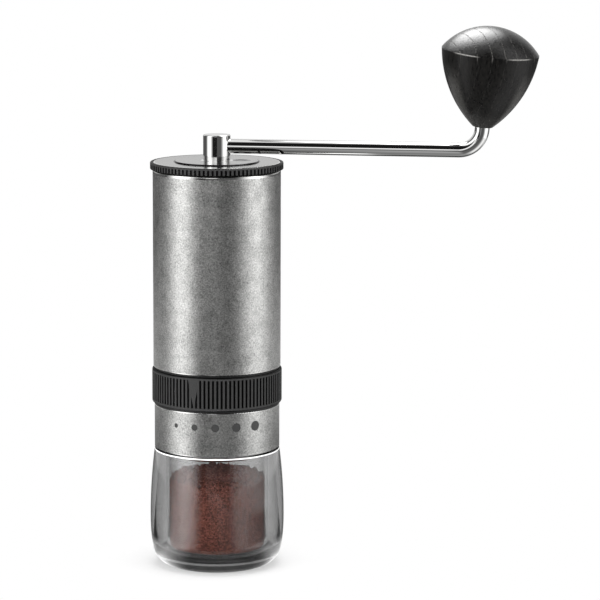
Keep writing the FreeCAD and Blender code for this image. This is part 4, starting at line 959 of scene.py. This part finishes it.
def tent_cloth(name, radius, height, angle, seen_by, *glows, closed=True):
    """Cloth carried about Z along a profile, glowing only for one kind of ray."""
    x, y = radius * np.sin(angle), -radius * np.cos(angle)
    z = height + 0 * angle
    cloth = grid_object(name, np.stack([x, y, z], axis=-1), closed,
                        {"glow": sum(glow(x, y, z) for glow in glows)})
    light_up(cloth, seen_by)


def studio_tent():
    """Light tent: a floor, an upright wall and a dome about Z that gloss sees, and the front and sides of the
    wall once more, with the floor before them, for the light that turns back inside clear pieces."""
    floor_r = np.linspace(0, TENT_RADIUS, 60)
    wall_z = np.linspace(0, TENT_WALL, 120)[1:]
    bend = np.linspace(0, math.pi / 2, 60)[1:]
    radius = np.concatenate([floor_r, np.full(len(wall_z), TENT_RADIUS), TENT_RADIUS * np.cos(bend)])[:, None]
    height = np.concatenate([TENT_FLOOR_Z + 0 * floor_r, wall_z, TENT_WALL + TENT_DOME * np.sin(bend)])
    height = height[:, None]
    around = np.linspace(-math.pi, math.pi, 360, endpoint=False)[None, :]
    tent_cloth("tent", radius, height, around, "glossy", tent_glow, arm_glow)
    in_front = np.radians(np.linspace(-HAZE_REACH, HAZE_REACH, 2 * HAZE_REACH))[None, :]
    clear_of_jar = np.concatenate([floor_r > CLEAR_OF_JAR * jar_high.x, np.ones(len(wall_z), bool),
                                   np.zeros(len(bend), bool)])
    tent_cloth("tent_front", radius[clear_of_jar], height[clear_of_jar], in_front, "transmission", tent_glow,
               haze_glow, closed=False)


def soft_lamp(name, place, size, power):
    """Rectangular softbox that faces the object, unseen by the camera and by gloss."""
    data = bpy.data.lights.new(name, "AREA")
    data.shape = "RECTANGLE"
    data.size, data.size_y = size
    data.energy = power
    made = bpy.data.objects.new(name, data)
    made.location = place
    made.rotation_euler = (CAMERA_AIM - Vector(place)).to_track_quat("-Z", "Y").to_euler()
    made.visible_camera = False
    made.visible_glossy = False
    bpy.context.scene.collection.objects.link(made)


floor = disc("floor", FLOOR_RADIUS, FLOOR_Z)
floor.data.materials.append(pale_floor())
studio_tent()
knob_card()
for lamp in LAMPS:
    soft_lamp(*lamp)

world = bpy.data.worlds.new("white_studio")
bpy.context.scene.world = world
world.use_nodes = True
sky = world.node_tree.nodes["Background"]
level = add(world.node_tree, "MapRange", {"Value": background_share(world.node_tree),
                                          "To Min": SURROUND_LIGHT, "To Max": 1.0})
sky.inputs["Color"].default_value = (1.0, 1.0, 1.0, 1.0)
world.node_tree.links.new(level.outputs["Result"], sky.inputs["Strength"])

# Camera

camera_data = bpy.data.cameras.new("camera")
camera_data.lens = CAMERA_LENS
camera_data.sensor_width = SENSOR_WIDTH
camera = bpy.data.objects.new("camera", camera_data)
bpy.context.scene.collection.objects.link(camera)
tilt = math.radians(CAMERA_ELEVATION)
camera.location = CAMERA_AIM + CAMERA_DISTANCE * Vector((0, -math.cos(tilt), math.sin(tilt)))
facing = (CAMERA_AIM - camera.location).to_track_quat("-Z", "Y").to_matrix()
camera.rotation_euler = (facing @ Matrix.Rotation(math.radians(CAMERA_ROLL), 3, "Z")).to_euler()
bpy.context.scene.camera = camera
bpy.context.scene.view_settings.view_transform = "Standard"
